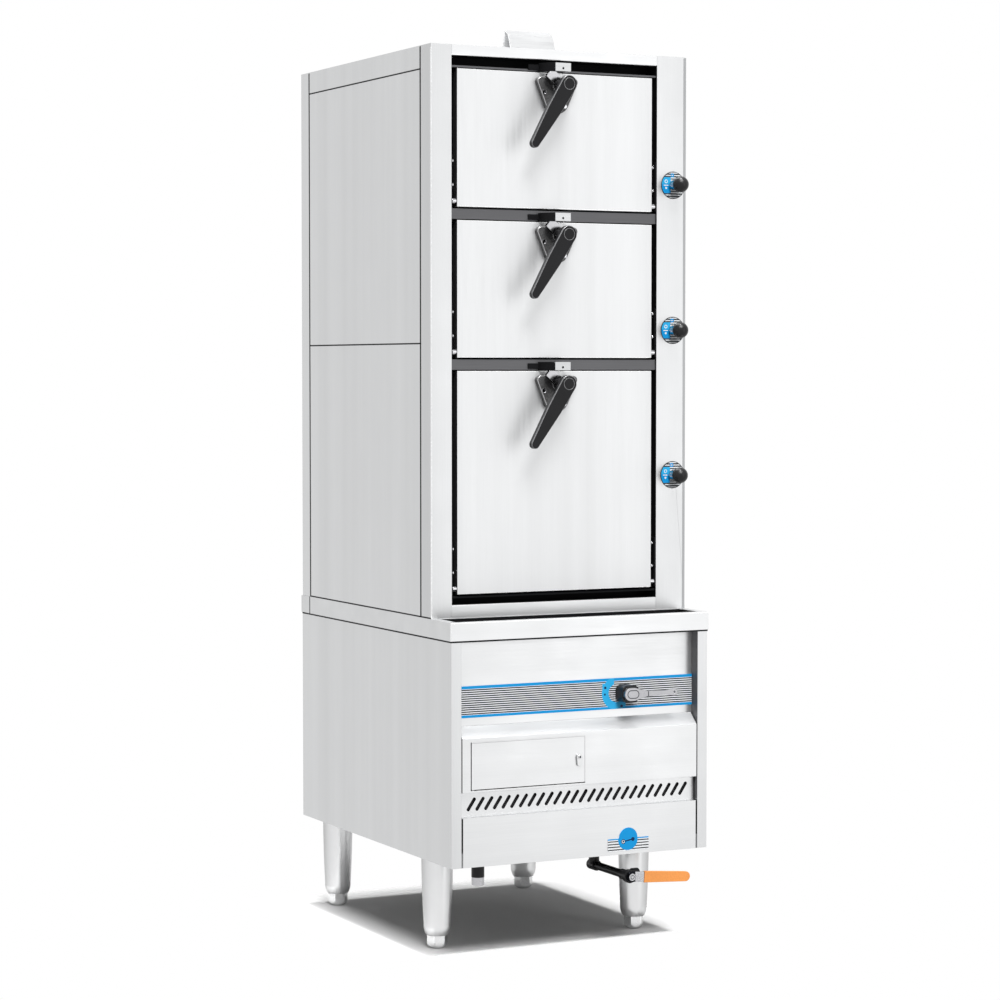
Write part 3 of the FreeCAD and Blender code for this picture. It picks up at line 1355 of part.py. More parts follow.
# Doors
def door_skin(low, high):
    shell = block(DOOR_LEFT, DOOR_RIGHT, UPPER_FRONT, SKIN_BACK, low, high).cut(
        block(
            DOOR_LEFT + SHEET,
            DOOR_RIGHT - SHEET,
            UPPER_FRONT + SHEET,
            SKIN_BACK,
            low + SHEET,
            high - SHEET,
        )
    )
    blocks = []
    y0 = UPPER_FRONT + SHEET
    for x0 in (DOOR_LEFT + SHEET, DOOR_RIGHT - SHEET - PIN_BITE):
        blocks.append(block(x0, x0 + PIN_BITE, y0, SKIN_BACK, low + SHEET, low + 2 * PIN_RISE))
    shape = union(shell, *blocks)
    y, z = pin_place(low)
    bore = rod((DOOR_LEFT - 1.0, y, z), X_AXIS, PIN_RADIUS + PIN_CLEARANCE, DOOR_RIGHT - DOOR_LEFT + 2.0)
    return shape.cut(bore)


def pin_place(low):
    return UPPER_FRONT + PIN_SETBACK, low + PIN_RISE


def door_pan(low, high):
    i = PAN_INSET
    return block(
        DOOR_LEFT + i, DOOR_RIGHT - i, SKIN_BACK, PAN_BACK, low + i, high - i
    ).cut(
        block(
            DOOR_LEFT + i + SHEET,
            DOOR_RIGHT - i - SHEET,
            SKIN_BACK,
            PAN_BACK - SHEET,
            low + i + SHEET,
            high - i - SHEET,
        )
    )


def door_gasket(low, high):
    """A closed ring of four butted bars behind the door's inner pan."""
    i, w = GASKET_INSET, GASKET_WIDTH
    x0, x1 = DOOR_LEFT + i, DOOR_RIGHT - i
    z0, z1 = low + i, high - i
    y0, y1 = PAN_BACK, PAN_BACK + GASKET_THICKNESS
    return [
        block(x0, x1, y0, y1, z0, z0 + w),
        block(x0, x1, y0, y1, z1 - w, z1),
        block(x0, x0 + w, y0, y1, z0 + w, z1 - w),
        block(x1 - w, x1, y0, y1, z0 + w, z1 - w),
    ]


def hinge_parts():
    """Returns the six hinge plates, and the pins and bolt heads on them."""
    plates, fasteners = [], []
    t = HINGE_PLATE_THICKNESS
    y0 = UPPER_FRONT + HINGE_PLATE_SETBACK
    for name in DOORS:
        y, z = pin_place(DOORS[name][0])
        top = z + HINGE_BOLT_RISES[-1] + HINGE_PLATE_END
        for side, wall in ((-1, OPENING_LEFT), (1, OPENING_RIGHT)):
            inward = Vector(-side, 0, 0)
            face = wall - side * t
            x0, x1 = min(wall, face), max(wall, face)
            plate = block(x0, x1, y0, y0 + HINGE_PLATE_DEPTH, z - HINGE_PLATE_FOOT, top)
            pin = rod((wall, y, z), inward, PIN_RADIUS, DOOR_SIDE_GAP + PIN_BITE)
            washer_length = DOOR_SIDE_GAP - t - HINGE_WASHER_GAP
            washer = rod((face, y, z), inward, HINGE_WASHER_RADIUS, washer_length)
            plates.append(plate.cut(pin))
            fasteners.append(union(pin, washer))
            for rise in HINGE_BOLT_RISES:
                place = (face, y + HINGE_BOLT_SHIFT, z + rise)
                head = rod(place, inward, HINGE_BOLT_HEAD_RADIUS, HINGE_BOLT_HEAD)
                rim = edges_on_plane(head, "x", face - side * HINGE_BOLT_HEAD)
                fasteners.append(head.makeFillet(HINGE_BOLT_ROUNDING, rim))
    return plates, fasteners


# Latches
def latch_place(high):
    return DOOR_MIDDLE, high - LATCH_DROP


def latch_base(high):
    """A shield-shaped casting with three screws, flat on the door."""
    x, z = latch_place(high)
    t = LATCH_BASE_THICKNESS
    solid = belt_face(LATCH_BASE_CIRCLES).extrude(Vector(0, t, 0))
    solid.translate(Vector(0, -t, 0))
    solid = solid.makeFillet(LATCH_BASE_ROUNDING, edges_on_plane(solid, "y", -t))
    boss = rod((0, -t, 0), -Y_AXIS, LATCH_BOSS_RADIUS, LATCH_BOSS_HEIGHT)
    bore = rod((0, 0, 0), -Y_AXIS, SPINDLE_RADIUS + SPINDLE_CLEARANCE, t + LATCH_BOSS_HEIGHT)
    solid = union(solid, boss).cut(bore)
    screws = []
    for dx, dz in LATCH_SCREWS:
        seat = (dx, -t, dz)
        depth = LATCH_SCREW_HEIGHT + LATCH_SCREW_SINK
        solid = solid.cut(rod(seat, Y_AXIS, LATCH_SCREW_RADIUS, depth))
        front = -t + LATCH_SCREW_SINK
        screw = rod((dx, front, dz), Y_AXIS, LATCH_SCREW_RADIUS, LATCH_SCREW_HEIGHT)
        rim = edges_on_plane(screw, "y", front)
        screws.append(screw.makeFillet(LATCH_SCREW_ROUNDING, rim))
    return [placed(item, 0, x, UPPER_FRONT, z) for item in [solid] + screws]


def latch_lever(high):
    """The black handle: round hub, tapering arm, leaning down and left."""
    x, z = latch_place(high)
    reach = LEVER_LENGTH - LEVER_TIP_RADIUS
    waist = (LEVER_WAIST_REACH, 0, LEVER_WAIST_RADIUS)
    circles = [(0, 0, LEVER_HUB_RADIUS), waist, (reach, 0, LEVER_TIP_RADIUS), waist]
    body = belt_face(circles).extrude(Vector(0, LEVER_THICKNESS, 0))
    body = body.makeFillet(LEVER_ROUNDING, edges_on_plane(body, "y", 0.0))
    groove = pipe((0, 0, 0), Y_AXIS, LEVER_CAP_RADIUS, LEVER_CAP_GROOVE, LEVER_CAP_DEPTH)
    neck_end = LATCH_STANDOFF - CAM_STANDOFF - CAM_THICKNESS
    neck = rod((0, 0, 0), Y_AXIS, LEVER_NECK_RADIUS, neck_end)
    lever = union(body, neck).cut(groove)
    return placed(lever, -90.0 - LEVER_ANGLE, x, UPPER_FRONT - LATCH_STANDOFF, z)


def latch_cam(high):
    """The bright cam that turns with the lever, with its spindle."""
    x, z = latch_place(high)
    half = CAM_WIDTH / 2
    cam = block(-half, CAM_REACH, 0, CAM_THICKNESS, -half, half)
    upright = [e for e in cam.Edges if abs(e.tangentAt(e.FirstParameter).y) > 1 - EDGE_TOLERANCE]
    cam = cam.makeFillet(CAM_ROUNDING, upright)
    spindle = rod((0, CAM_THICKNESS, 0), Y_AXIS, SPINDLE_RADIUS, CAM_STANDOFF - SPINDLE_END)
    cam = placed(
        union(cam, spindle), CAM_ANGLE, x, UPPER_FRONT - CAM_STANDOFF - CAM_THICKNESS, z
    )
    limit = high + STRIKE_GAP - CAM_TOP_CLEARANCE
    reach = 2 * CAM_REACH
    above = block(x - reach, x + reach, UPPER_FRONT - reach, UPPER_FRONT, limit, limit + reach)
    return cam.cut(above)


def strike(high):
    """A bent keeper on the rail above the door, as four sheets."""
    t = STRIKE_THICKNESS
    x0, x1 = DOOR_MIDDLE - STRIKE_WIDTH / 2, DOOR_MIDDLE + STRIKE_WIDTH / 2
    y0 = UPPER_FRONT - STRIKE_STANDOFF
    rail = UPPER_FRONT + DIVIDER_RECESS
    low = high + STRIKE_GAP
    top = low + STRIKE_HEIGHT
    plate = block(x0, x1, y0, y0 + t, low, top)
    hole_z = (low + top) / 2 - STRIKE_HOLE_DROP
    plate = plate.cut(rod((DOOR_MIDDLE, y0, hole_z), Y_AXIS, STRIKE_HOLE_RADIUS, t))
    leg = block(x1 - t, x1, y0 + t, rail, low, top)
    foot_x = x0 - STRIKE_WING_RUN
    bow = STRIKE_WING_BOW
    outer = [
        Vector(x0, y0, low),
        Vector((x0 + foot_x) / 2 - bow, (y0 + rail) / 2 - bow, low),
        Vector(foot_x, rail - t, low),
    ]
    inner = [
        Vector(foot_x, rail, low),
        Vector((x0 + foot_x) / 2 - bow + t, (y0 + rail) / 2 - bow + t, low),
        Vector(x0, y0 + t, low),
    ]
    outline = [
        Part.Arc(*outer).toShape(),
        Part.LineSegment(outer[2], inner[0]).toShape(),
        Part.Arc(*inner).toShape(),
        Part.LineSegment(inner[2], outer[0]).toShape(),
    ]
    wing = Part.Face(Part.Wire(outline)).extrude(Vector(0, 0, STRIKE_HEIGHT))
    flange = block(
        x0 - STRIKE_WING,
        foot_x,
        rail - t,
        rail,
        low + STRIKE_FLANGE_INSET,
        top - STRIKE_FLANGE_INSET,
    )
    return [plate, leg, wing, flange]


# Access door
def access_door():
    """A shallow tray with a knuckle at each end of its left edge."""
    x0, x1, z0, z1 = access_box(0.0)
    y0 = BASE_FRONT
    deep = y0 + ACCESS_RETURN
    inside = block(x0 + SHEET, x1 - SHEET, y0 + SHEET, deep, z0 + SHEET, z1 - SHEET)
    shell = block(x0, x1, y0, deep, z0, z1).cut(inside)
    px, py = access_pin()
    tall = ACCESS_KNUCKLE_HEIGHT
    knuckles = [rod((px, py, z), Z_AXIS, ACCESS_KNUCKLE_RADIUS, tall) for z in (z0, z1 - tall)]
    bore = rod((px, py, z0), Z_AXIS, ACCESS_PIN_RADIUS + PIN_CLEARANCE, z1 - z0)
    lx, lz = access_latch_place()
    hole = rod((lx, y0, lz), Y_AXIS, ACCESS_LATCH_RADIUS + ACCESS_LATCH_CLEARANCE, SHEET)
    return union(shell, *knuckles).cut(bore).cut(hole)


def access_pin():
    return LEFT + ACCESS_LEFT + ACCESS_PIN_INSET, BASE_FRONT + ACCESS_PIN_INSET


def access_pins():
    px, py = access_pin()
    x0, x1, z0, z1 = access_box(ACCESS_GAP)
    tall = ACCESS_KNUCKLE_HEIGHT
    return [rod((px, py, z), Z_AXIS, ACCESS_PIN_RADIUS, tall) for z in (z0, z1 - tall)]


def access_latch_place():
    x0, x1, z0, z1 = access_box(0.0)
    return x1 - ACCESS_LATCH_FROM_EDGE, z0 + ACCESS_LATCH_HEIGHT


def access_latch():
    """A turn with a hanging tab in front and a short cam behind the door."""
    x, z = access_latch_place()
    tab_back = BASE_FRONT - ACCESS_TAB_GAP
    y0 = tab_back - ACCESS_TAB_THICKNESS
    cam_y = BASE_FRONT + ACCESS_RETURN + ACCESS_CAM_GAP
    cam_end = cam_y + ACCESS_CAM_THICKNESS
    barrel = rod((x, tab_back, z), Y_AXIS, ACCESS_LATCH_RADIUS, cam_end - tab_back)
    tab = bar(ACCESS_TAB_TOP_RADIUS, ACCESS_TAB_END_RADIUS, ACCESS_TAB_REACH, ACCESS_TAB_THICKNESS)
    tab = placed(tab, -90.0, x, y0, z)
    rise = ACCESS_BUTTON_HEIGHT
    button = rod((x, y0 - rise, z), Y_AXIS, ACCESS_BUTTON_RADIUS, rise)
    half = ACCESS_CAM_HALF
    cam = block(x - half, x + ACCESS_CAM_REACH, cam_y, cam_end, z - half, z + half)
    return union(barrel, tab, button, cam)


def build():
    os.makedirs("parts", exist_ok=True)
    export("foot_sleeves", *[foot_sleeve(x, y) for x, y in foot_places()])
    export("foot_adjusters", *[foot_adjuster(x, y) for x, y in foot_places()])
    export("base_frame", *base_frame())
    export("base_side_panels", *base_side_panels())
    export("base_front_stiles", base_stile(-1), base_stile(1))
    export("back_panels", *back_panels())
    export("rim_deck", *rim_deck())
    export("gutter_tray", *gutter_tray())
    export("control_panel", control_panel())
    export("lower_panel", *lower_panel())
    export("vent_grille", vent_grille())
    export("apron_panel", apron_panel())
    export("front_frame", *front_frame())
    export("side_shell", *side_shell())
    export("roof_panel", *roof_panel())
    export("vent_hood", *vent_hood())
    export("face_frame", *face_frame())
    export("divider_rails", *divider_rails())
    export("chamber_liners", *chamber_liners())
    export("shelf_runners", *shelf_runners())
    export("shelves", *shelves())
    export("insulation_batts", *insulation_batts())
    export("steam_manifold", *steam_manifold())
    export("printed_plates", *printed_plates())
    export("boiler_tank", boiler_tank())
    export("burner", *burner())
    export("gas_line", *gas_line())
    export("drain_pipe", *drain_pipe())
    export("drain_valve_body", drain_valve_body())
    export("water_inlet", *water_inlet())
    plates, fasteners = hinge_parts()
    export("hinge_plates", *plates)
    export("hinge_fasteners", *(fasteners + access_pins()))
    export("strikes", *[sheet for name in DOORS for sheet in strike(DOORS[name][1])])
    for name, (low, high) in DOORS.items():
        export(name + "_door_skin", door_skin(low, high))
        export(name + "_door_pan", door_pan(low, high))
        export(name + "_door_gasket", *door_gasket(low, high))
        export(name + "_latch_base", *latch_base(high))
        export(name + "_latch_lever", latch_lever(high))
        export(name + "_latch_cam", latch_cam(high))
        export(name + "_steam_knob", steam_knob(KNOBS[name]))
    export("access_door", access_door())
    export("access_latch", access_latch())
    export("gas_knob", gas_knob())
    export("gas_lever", gas_lever())
    export("drain_lever", drain_lever())
    export("drain_lever_sleeve", drain_lever_sleeve())


build()
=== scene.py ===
"""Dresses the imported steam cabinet: recut pieces, finishes, prints, details, light and camera."""
import json
import math
from collections import Counter

import bmesh
import bpy
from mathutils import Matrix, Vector

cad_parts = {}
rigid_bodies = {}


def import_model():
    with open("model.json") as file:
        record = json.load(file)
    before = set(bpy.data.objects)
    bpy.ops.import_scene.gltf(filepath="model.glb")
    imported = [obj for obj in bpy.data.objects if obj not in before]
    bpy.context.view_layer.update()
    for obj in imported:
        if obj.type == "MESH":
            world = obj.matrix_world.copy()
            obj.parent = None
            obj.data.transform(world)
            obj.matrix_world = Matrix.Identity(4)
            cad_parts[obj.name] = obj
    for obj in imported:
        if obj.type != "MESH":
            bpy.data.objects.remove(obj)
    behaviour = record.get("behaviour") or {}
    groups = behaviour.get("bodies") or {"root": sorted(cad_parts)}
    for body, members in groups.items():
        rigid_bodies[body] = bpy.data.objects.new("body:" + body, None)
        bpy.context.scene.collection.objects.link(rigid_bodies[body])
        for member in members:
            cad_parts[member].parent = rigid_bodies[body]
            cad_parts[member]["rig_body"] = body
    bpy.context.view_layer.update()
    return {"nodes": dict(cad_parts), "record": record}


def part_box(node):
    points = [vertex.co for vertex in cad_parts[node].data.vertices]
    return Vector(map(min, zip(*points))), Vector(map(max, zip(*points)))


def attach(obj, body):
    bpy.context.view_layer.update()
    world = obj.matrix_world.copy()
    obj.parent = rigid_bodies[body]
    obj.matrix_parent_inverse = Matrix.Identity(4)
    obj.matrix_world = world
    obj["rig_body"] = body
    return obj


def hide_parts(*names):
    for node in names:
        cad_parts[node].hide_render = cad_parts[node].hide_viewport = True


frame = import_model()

MM = 0.001
NODES = frame["nodes"]
SLOT_OF = {row["node"]: row["material_slot"] for row in frame["record"]["subparts"]}
DOORS = ("top", "middle", "bottom")

# Camera, solved from the cabinet's own corners
CAMERA_PLACE = (-2.72895, -5.4861, 1.2166)
CAMERA_PITCH = 2.664
CAMERA_TURN = -26.465
CAMERA_LENS = 100.92
SENSOR = 36.0

# Edges of the recut pieces
SAME_PLACE = 1e-6
FLAT_ANGLE = math.radians(0.6)
SHARP_ANGLE = math.radians(32)
BLEND_COS = math.cos(math.radians(50))
BROAD = 5 * MM
FOLD = 2.0 * MM
DOOR_FOLD = 1.3 * MM
FINE = 0.35 * MM
SOFT = 1.2 * MM
ROUND_STEPS = 3

# Planes and places on the cabinet, in millimetres
UPPER_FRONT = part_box("front_frame")[0].y / MM
BASE_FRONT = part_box("base_front_stiles")[0].y / MM
RIM_LOW = 667.0
RIM_TOP = 705.0
CABINET_TOP = 1880.0
REAR_POST = 47.0
SIDE_POST = 50.0
SIDE_TOP_RAIL = 48.0
SIDE_SEAM_HEIGHT = 1270.0
SEAM = 1.5
BODY_SIDE = 300.0
BODY_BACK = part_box("back_panels")[1].y / MM
STILE_EDGE = 277.0
OPENING = (-253.0, 229.0, 732.0, 1858.0)
KNOB_X = 268.5
KNOB_LOW = 992.0
KNOB_PITCH = 308.0
HUB_X = -12.0
HUB_HEIGHTS = {"top": 1805.0, "middle": 1496.0, "bottom": 1187.0}
LATCH_SCREWS = ((-35.0, -14.0), (31.0, -6.0), (14.5, -42.5))
LATCH_SCREW_RADIUS = 4.9
STRIKE_LEFT = -30.0
STRIKE_RIGHT = 6.0
STRIKE_HOLE = 5.0
KNOB_NECK_END = 20.0
DIAL_RIM = 27.6
LEVER_CAP_RADIUS = 12.0
ACCESS_DOOR = (-254.0, 6.0, 362.0, 457.0)
ACCESS_GAP = 2.0
ACCESS_BUTTON = (-7.0, 415.0)
DRAIN_HUB = (118.0, 154.0)
GAS_X = 112.0
GAS_HEIGHT = 540.0
BAND_LOW = 506.5
BAND_HEIGHT = 65.0
BAND_STRIPES = 12
DRAIN_DIAL_X = 110.0
DRAIN_DIAL_HEIGHT = 237.0
DRAIN_DISC = 23.5
INLET_END = 170.0
FEED_BOX_LOW = 499.0
APRON_LOW = 204.0
GRILLE_LOW = 303.5
GRILLE_HIGH = 357.5
GRILLE_BORDER = 8.0
LOWER_PANEL_HIGH = 466.0


# Terms: values worked out by shader nodes
class Term:
    """A value worked out by shader nodes, so that a pattern can be written as a sum."""

    def __init__(self, tree, socket):
        self.tree = tree
        self.socket = socket

    def step(self, operation, other=None):
        node = self.tree.nodes.new("ShaderNodeMath")
        node.operation = operation
        for socket, value in zip(node.inputs, (self, other)):
            if isinstance(value, Term):
                self.tree.links.new(value.socket, socket)
            elif value is not None:
                socket.default_value = value
        return Term(self.tree, node.outputs[0])

    def __add__(self, other):
        return self.step("ADD", other)

    def __sub__(self, other):
        return self.step("SUBTRACT", other)

    def __mul__(self, other):
        return self.step("MULTIPLY", other)

    def __lt__(self, other):
        return self.step("LESS_THAN", other)

    def __gt__(self, other):
        return self.step("GREATER_THAN", other)

    def __and__(self, other):
        return self.step("MINIMUM", other)

    def __or__(self, other):
        return self.step("MAXIMUM", other)

    def __abs__(self):
        return self.step("ABSOLUTE")

    def within(self, low, high):
        return (self > low) & (self < high)

    def span(self, low, high):
        """Maps a noise, which mostly lies from 0.3 to 0.7, onto low to high."""
        return (self - 0.3) * ((high - low) / 0.4) + low


def hypotenuse(a, b):
    return (a * a + b * b).step("SQRT")


def place_terms(tree):
    """The place on the piece in millimetres."""
    place = tree.nodes.new("ShaderNodeTexCoord")
    split = tree.nodes.new("ShaderNodeSeparateXYZ")
    tree.links.new(place.outputs["Object"], split.inputs[0])
    return [Term(tree, socket) * (1 / MM) for socket in split.outputs]


def noise_term(tree, scale, detail):
    """A noise with its own number of cycles per metre along each axis."""
    place = tree.nodes.new("ShaderNodeTexCoord")
    stretch = tree.nodes.new("ShaderNodeMapping")
    stretch.inputs["Scale"].default_value = scale
    noise = tree.nodes.new("ShaderNodeTexNoise")
    noise.inputs["Scale"].default_value = 1.0
    noise.inputs["Detail"].default_value = detail
    tree.links.new(place.outputs["Object"], stretch.inputs["Vector"])
    tree.links.new(stretch.outputs["Vector"], noise.inputs["Vector"])
    return Term(tree, noise.outputs["Fac"])


def mixed(tree, factor, first, second):
    mix = tree.nodes.new("ShaderNodeMix")
    mix.data_type = "RGBA"
    for socket, value in ((mix.inputs[6], first), (mix.inputs[7], second)):
        if isinstance(value, tuple):
            socket.default_value = value[:3] + (1.0,)
        else:
            tree.links.new(value, socket)
    tree.links.new(factor.socket, mix.inputs[0])
    return mix.outputs[2]


# Finishes
def finish(
    name, colour, metallic, roughness, grain, tone=0.04, rough=0.05, bump=0.05, rim=0, inks=None, **sockets
):
    """A finish whose tone, roughness and bump follow a fine stretched grain and broad patches.

    rim paints shade on it where it turns away from the eye; inks gives (mask, colour) layers that
    are printed over the ground colour in turn.
    """
    made = bpy.data.materials.new(name)
    made.use_nodes = True
    tree = made.node_tree
    shader = tree.nodes["Principled BSDF"]
    shader.inputs["Metallic"].default_value = metallic
    for socket, value in sockets.items():
        shader.inputs[socket.replace("_", " ")].default_value = value
    fine = noise_term(tree, grain, 3.0)
    broad = noise_term(tree, tuple(g * BROAD_PATCHES for g in grain), 2.0)
    marks = noise_term(tree, EVEN_PATCHES, 4.0)
    shade = fine.span(1 - tone, 1 + tone) * broad.span(1 - tone, 1 + tone)
    # Painted shade: the rim term darkens the colour where the surface turns away from the eye.
    if rim:
        turn = tree.nodes.new("ShaderNodeLayerWeight")
        turn.inputs["Blend"].default_value = 0.5
        facing = Term(tree, turn.outputs["Facing"])
        shade = shade * (facing * -rim + 1)
    base = colour
    for mask, ink in inks(*place_terms(tree)) if inks else ():
        base = mixed(tree, mask, base, ink)
    scaled = tree.nodes.new("ShaderNodeVectorMath")
    scaled.operation = "SCALE"
    if isinstance(base, tuple):
        scaled.inputs[0].default_value = base
    else:
        tree.links.new(base, scaled.inputs[0])
    tree.links.new(shade.socket, scaled.inputs["Scale"])
    tree.links.new(scaled.outputs[0], shader.inputs["Base Color"])
    uneven = fine.span(roughness - rough, roughness + rough) + marks.span(-rough, rough) * MARKS_SHARE
    tree.links.new(uneven.socket, shader.inputs["Roughness"])
    relief = tree.nodes.new("ShaderNodeBump")
    relief.inputs["Strength"].default_value = bump
    relief.inputs["Distance"].default_value = RELIEF
    tree.links.new(fine.socket, relief.inputs["Height"])
    tree.links.new(relief.outputs["Normal"], shader.inputs["Normal"])
    return made


# Grains in cycles per metre along each axis, and the inks of the prints
UPRIGHT = (700, 700, 9)
LEVEL = (9, 700, 700)
EVEN = (400, 400, 400)
SMOOTH = (30, 30, 30)
BROAD_PATCHES = 0.03
EVEN_PATCHES = (9, 9, 9)
MARKS_SHARE = 0.6
RELIEF = 0.2 * MM
STEEL = (0.60, 0.605, 0.61)
BLUE = (0.008, 0.29, 0.66)
SKY = (0.03, 0.40, 0.74)
WHITE = (0.80, 0.82, 0.84)
NAVY = (0.005, 0.03, 0.09)
LINE = (0.010, 0.011, 0.014)
GREY = (0.05, 0.055, 0.06)


def band_inks(x, y, z):
    """Stripes along the band, with the gas lever's blue crescent and its tab."""
    up = z - BAND_LOW
    low_line, high_line = 5.5, BAND_HEIGHT - 6.0
    pitch = (high_line - low_line) / BAND_STRIPES
    half_line = 1.2
    waves = (up - low_line).step("PINGPONG", pitch / 2)
    stripes = (waves > pitch / 2 - half_line) & up.within(low_line, high_line)
    edges = (up < low_line) | (up > high_line)
    crescent_x, inner, outer = GAS_X - 17.0, 19.0, 35.0
    across, rise = x - crescent_x, z - GAS_HEIGHT
    reach = hypotenuse(across, rise)
    ring = reach.within(inner, outer) & ((across < -6.0) | (rise < -17.0)) & (across < 22.0)
    tab = across.within(-34.0, -20.0) & rise.within(0.0, 21.0)
    dots = (hypotenuse(across + 27.0, rise - 12.0) < 2.8) | (hypotenuse(across + 28.0, rise + 2.0) < 2.2)
    low_dot = hypotenuse(across - 12.0, rise + 28.0) < 3.2
    return (stripes, LINE), (edges, BLUE), (ring | tab, SKY), (dots | low_dot, NAVY)


def dial_inks(x, y, z):
    """Grey stripes on white with a blue field on the left and a thin dark rim, on each of three dials."""
    across = x - KNOB_X
    half = KNOB_PITCH / 2
    rise = (z - (KNOB_LOW - half)).step("FLOORED_MODULO", KNOB_PITCH) - half
    reach = hypotenuse(across, rise)
    stripes = (rise.step("PINGPONG", 2.6) > 1.0) & (abs(rise) > 12.0)
    field = (across < -6.0) & (abs(rise) < 17.0)
    upper = field & (rise > 2.0)
    ring = hypotenuse(across + 17.0, rise - 8.0).within(2.4, 3.8)
    dot = hypotenuse(across + 17.0, rise + 6.0) < 2.4
    dash = across.within(-23.0, -12.0) & rise.within(-1.2, 0.6)
    swirl = hypotenuse(across + 2.0, rise - 21.0).within(2.0, 4.4)
    marks = (ring | dot | dash) & field
    rim = reach > DIAL_RIM
    return (stripes, GREY), (field, BLUE), (upper, SKY), (marks, WHITE), (swirl, BLUE), (rim, LINE)


def drain_inks(x, y, z):
    """Dark lines on a white plate with a blue disc that carries a dumbbell mark."""
    across, rise = x - DRAIN_DIAL_X, z - DRAIN_DIAL_HEIGHT
    disc = hypotenuse(across + 1.0, rise + 2.0) < DRAIN_DISC
    stripes = (rise + 26.0).step("PINGPONG", 2.9) > 1.75
    left_x, left_z, right_x, right_z = -12.0, -7.0, 11.0, -3.0
    slope = (right_z - left_z) / (right_x - left_x)
    line = (abs(rise - across * slope - (left_z - slope * left_x)) < 1.4) & across.within(left_x, right_x)
    left = hypotenuse(across - left_x, rise - left_z) < 5.0
    left_ring = hypotenuse(across - left_x, rise - left_z).within(2.2, 3.4)
    right = hypotenuse(across - right_x, rise - right_z) < 4.2
    marks = (line | left | right) & disc
    return (stripes, LINE), (rise > -2.4, BLUE), (disc, BLUE), (marks, NAVY), (left_ring & disc, WHITE)


def lever_inks(x, y, z):
    """An engraved oval round the gas lever's hub and a line where its arm starts."""
    across, rise = x - GAS_X, z - GAS_HEIGHT
    beyond = (across - 6.0).step("MAXIMUM", 0.0) + (across + 4.0).step("MINIMUM", 0.0)
    oval = hypotenuse(beyond, rise).within(7.2, 9.0)
    root = (across - 37.0).within(-1.0, 1.0) & (abs(rise) < 6.0)
    return ((oval | root, (0.05, 0.05, 0.055)),)


def latch_inks(x, y, z):
    """A dark disc on the access latch's button: painted shade standing in for a dimple."""
    return ((hypotenuse(x - ACCESS_BUTTON[0], z - ACCESS_BUTTON[1]) < 2.3, GREY),)


def drain_lever_inks(x, y, z):
    """Dark rings round the nut at the drain lever's hub."""
    across = x - DRAIN_HUB[0]
    reach = hypotenuse(across, z - DRAIN_HUB[1])
    rings = reach.within(7.6, 14.0) | reach.within(3.4, 4.6)
    return ((rings & (across < 9.5), LINE),)


def rim_inks(x, y, z):
    """The joint in the rim at each rear post."""
    return (((abs(x) > BODY_SIDE + 1.0) & (abs(y - BODY_BACK + REAR_POST) < 2.4), LINE),)


SATIN = finish("satin_stainless", STEEL, 1.0, 0.36, UPRIGHT, 0.03)
SATIN_LEVEL = finish("satin_stainless_level", STEEL, 1.0, 0.36, LEVEL, 0.03)
# Painted shade: a darker copy of the steel for the stiles, set against the light they catch.
STILES = finish("shaded_satin_stiles", (0.555, 0.56, 0.565), 1.0, 0.38, UPRIGHT, 0.03)
DOOR_FACE = finish("satin_doors", (0.62, 0.625, 0.63), 1.0, 0.58, UPRIGHT, 0.03)
RIM = finish("satin_rim", STEEL, 1.0, 0.36, LEVEL, 0.03, inks=rim_inks)
# Painted shade: a darker copy of the steel for the hood, set against the light it mirrors.
HOOD = finish("shaded_satin_hood", (0.53, 0.535, 0.54), 1.0, 0.38, LEVEL, 0.02)
# Painted light: a pale, mostly matt copy of the steel for the hood's ends, back and underside, standing in
# for light reaching into them.
HOOD_END = finish("hood_end_painted_light", (0.78, 0.785, 0.79), 0.3, 0.55, EVEN, 0.10)
HEXAGONS = finish(
    "plain_hexagons", (0.88, 0.885, 0.89), 0.8, 0.20, EVEN, 0.03, bump=0.02, rim=0.5
)
LEVER_METAL = finish("lever_metal", (0.37, 0.37, 0.385), 1.0, 0.32, EVEN, 0.08, rim=0.5, inks=lever_inks)
LATCH_METAL = finish("latch_metal", (0.62, 0.625, 0.63), 1.0, 0.36, EVEN, 0.05, rim=0.5, inks=latch_inks)
DRAIN_METAL = finish(
    "drain_metal", (0.42, 0.42, 0.43), 1.0, 0.26, EVEN, 0.06, rim=0.4, inks=drain_lever_inks
)
CAM_METAL = finish("cam_metal", (0.32, 0.32, 0.33), 1.0, 0.18, EVEN, 0.10, rim=0.6)
FEET = finish(
    "satin_feet", (0.90, 0.905, 0.91), 0.8, 0.30, SMOOTH, 0.01, rough=0.01, bump=0.01, rim=0.6
)
# Painted shade: a darker copy of the steel for the up-facing slope, set against the light it catches from
# above.
SLOPE = finish("shaded_satin_slope", (0.49, 0.495, 0.50), 1.0, 0.56, LEVEL, 0.03)
RAILS = finish("satin_rails", (0.60, 0.605, 0.61), 1.0, 0.36, LEVEL, 0.03)
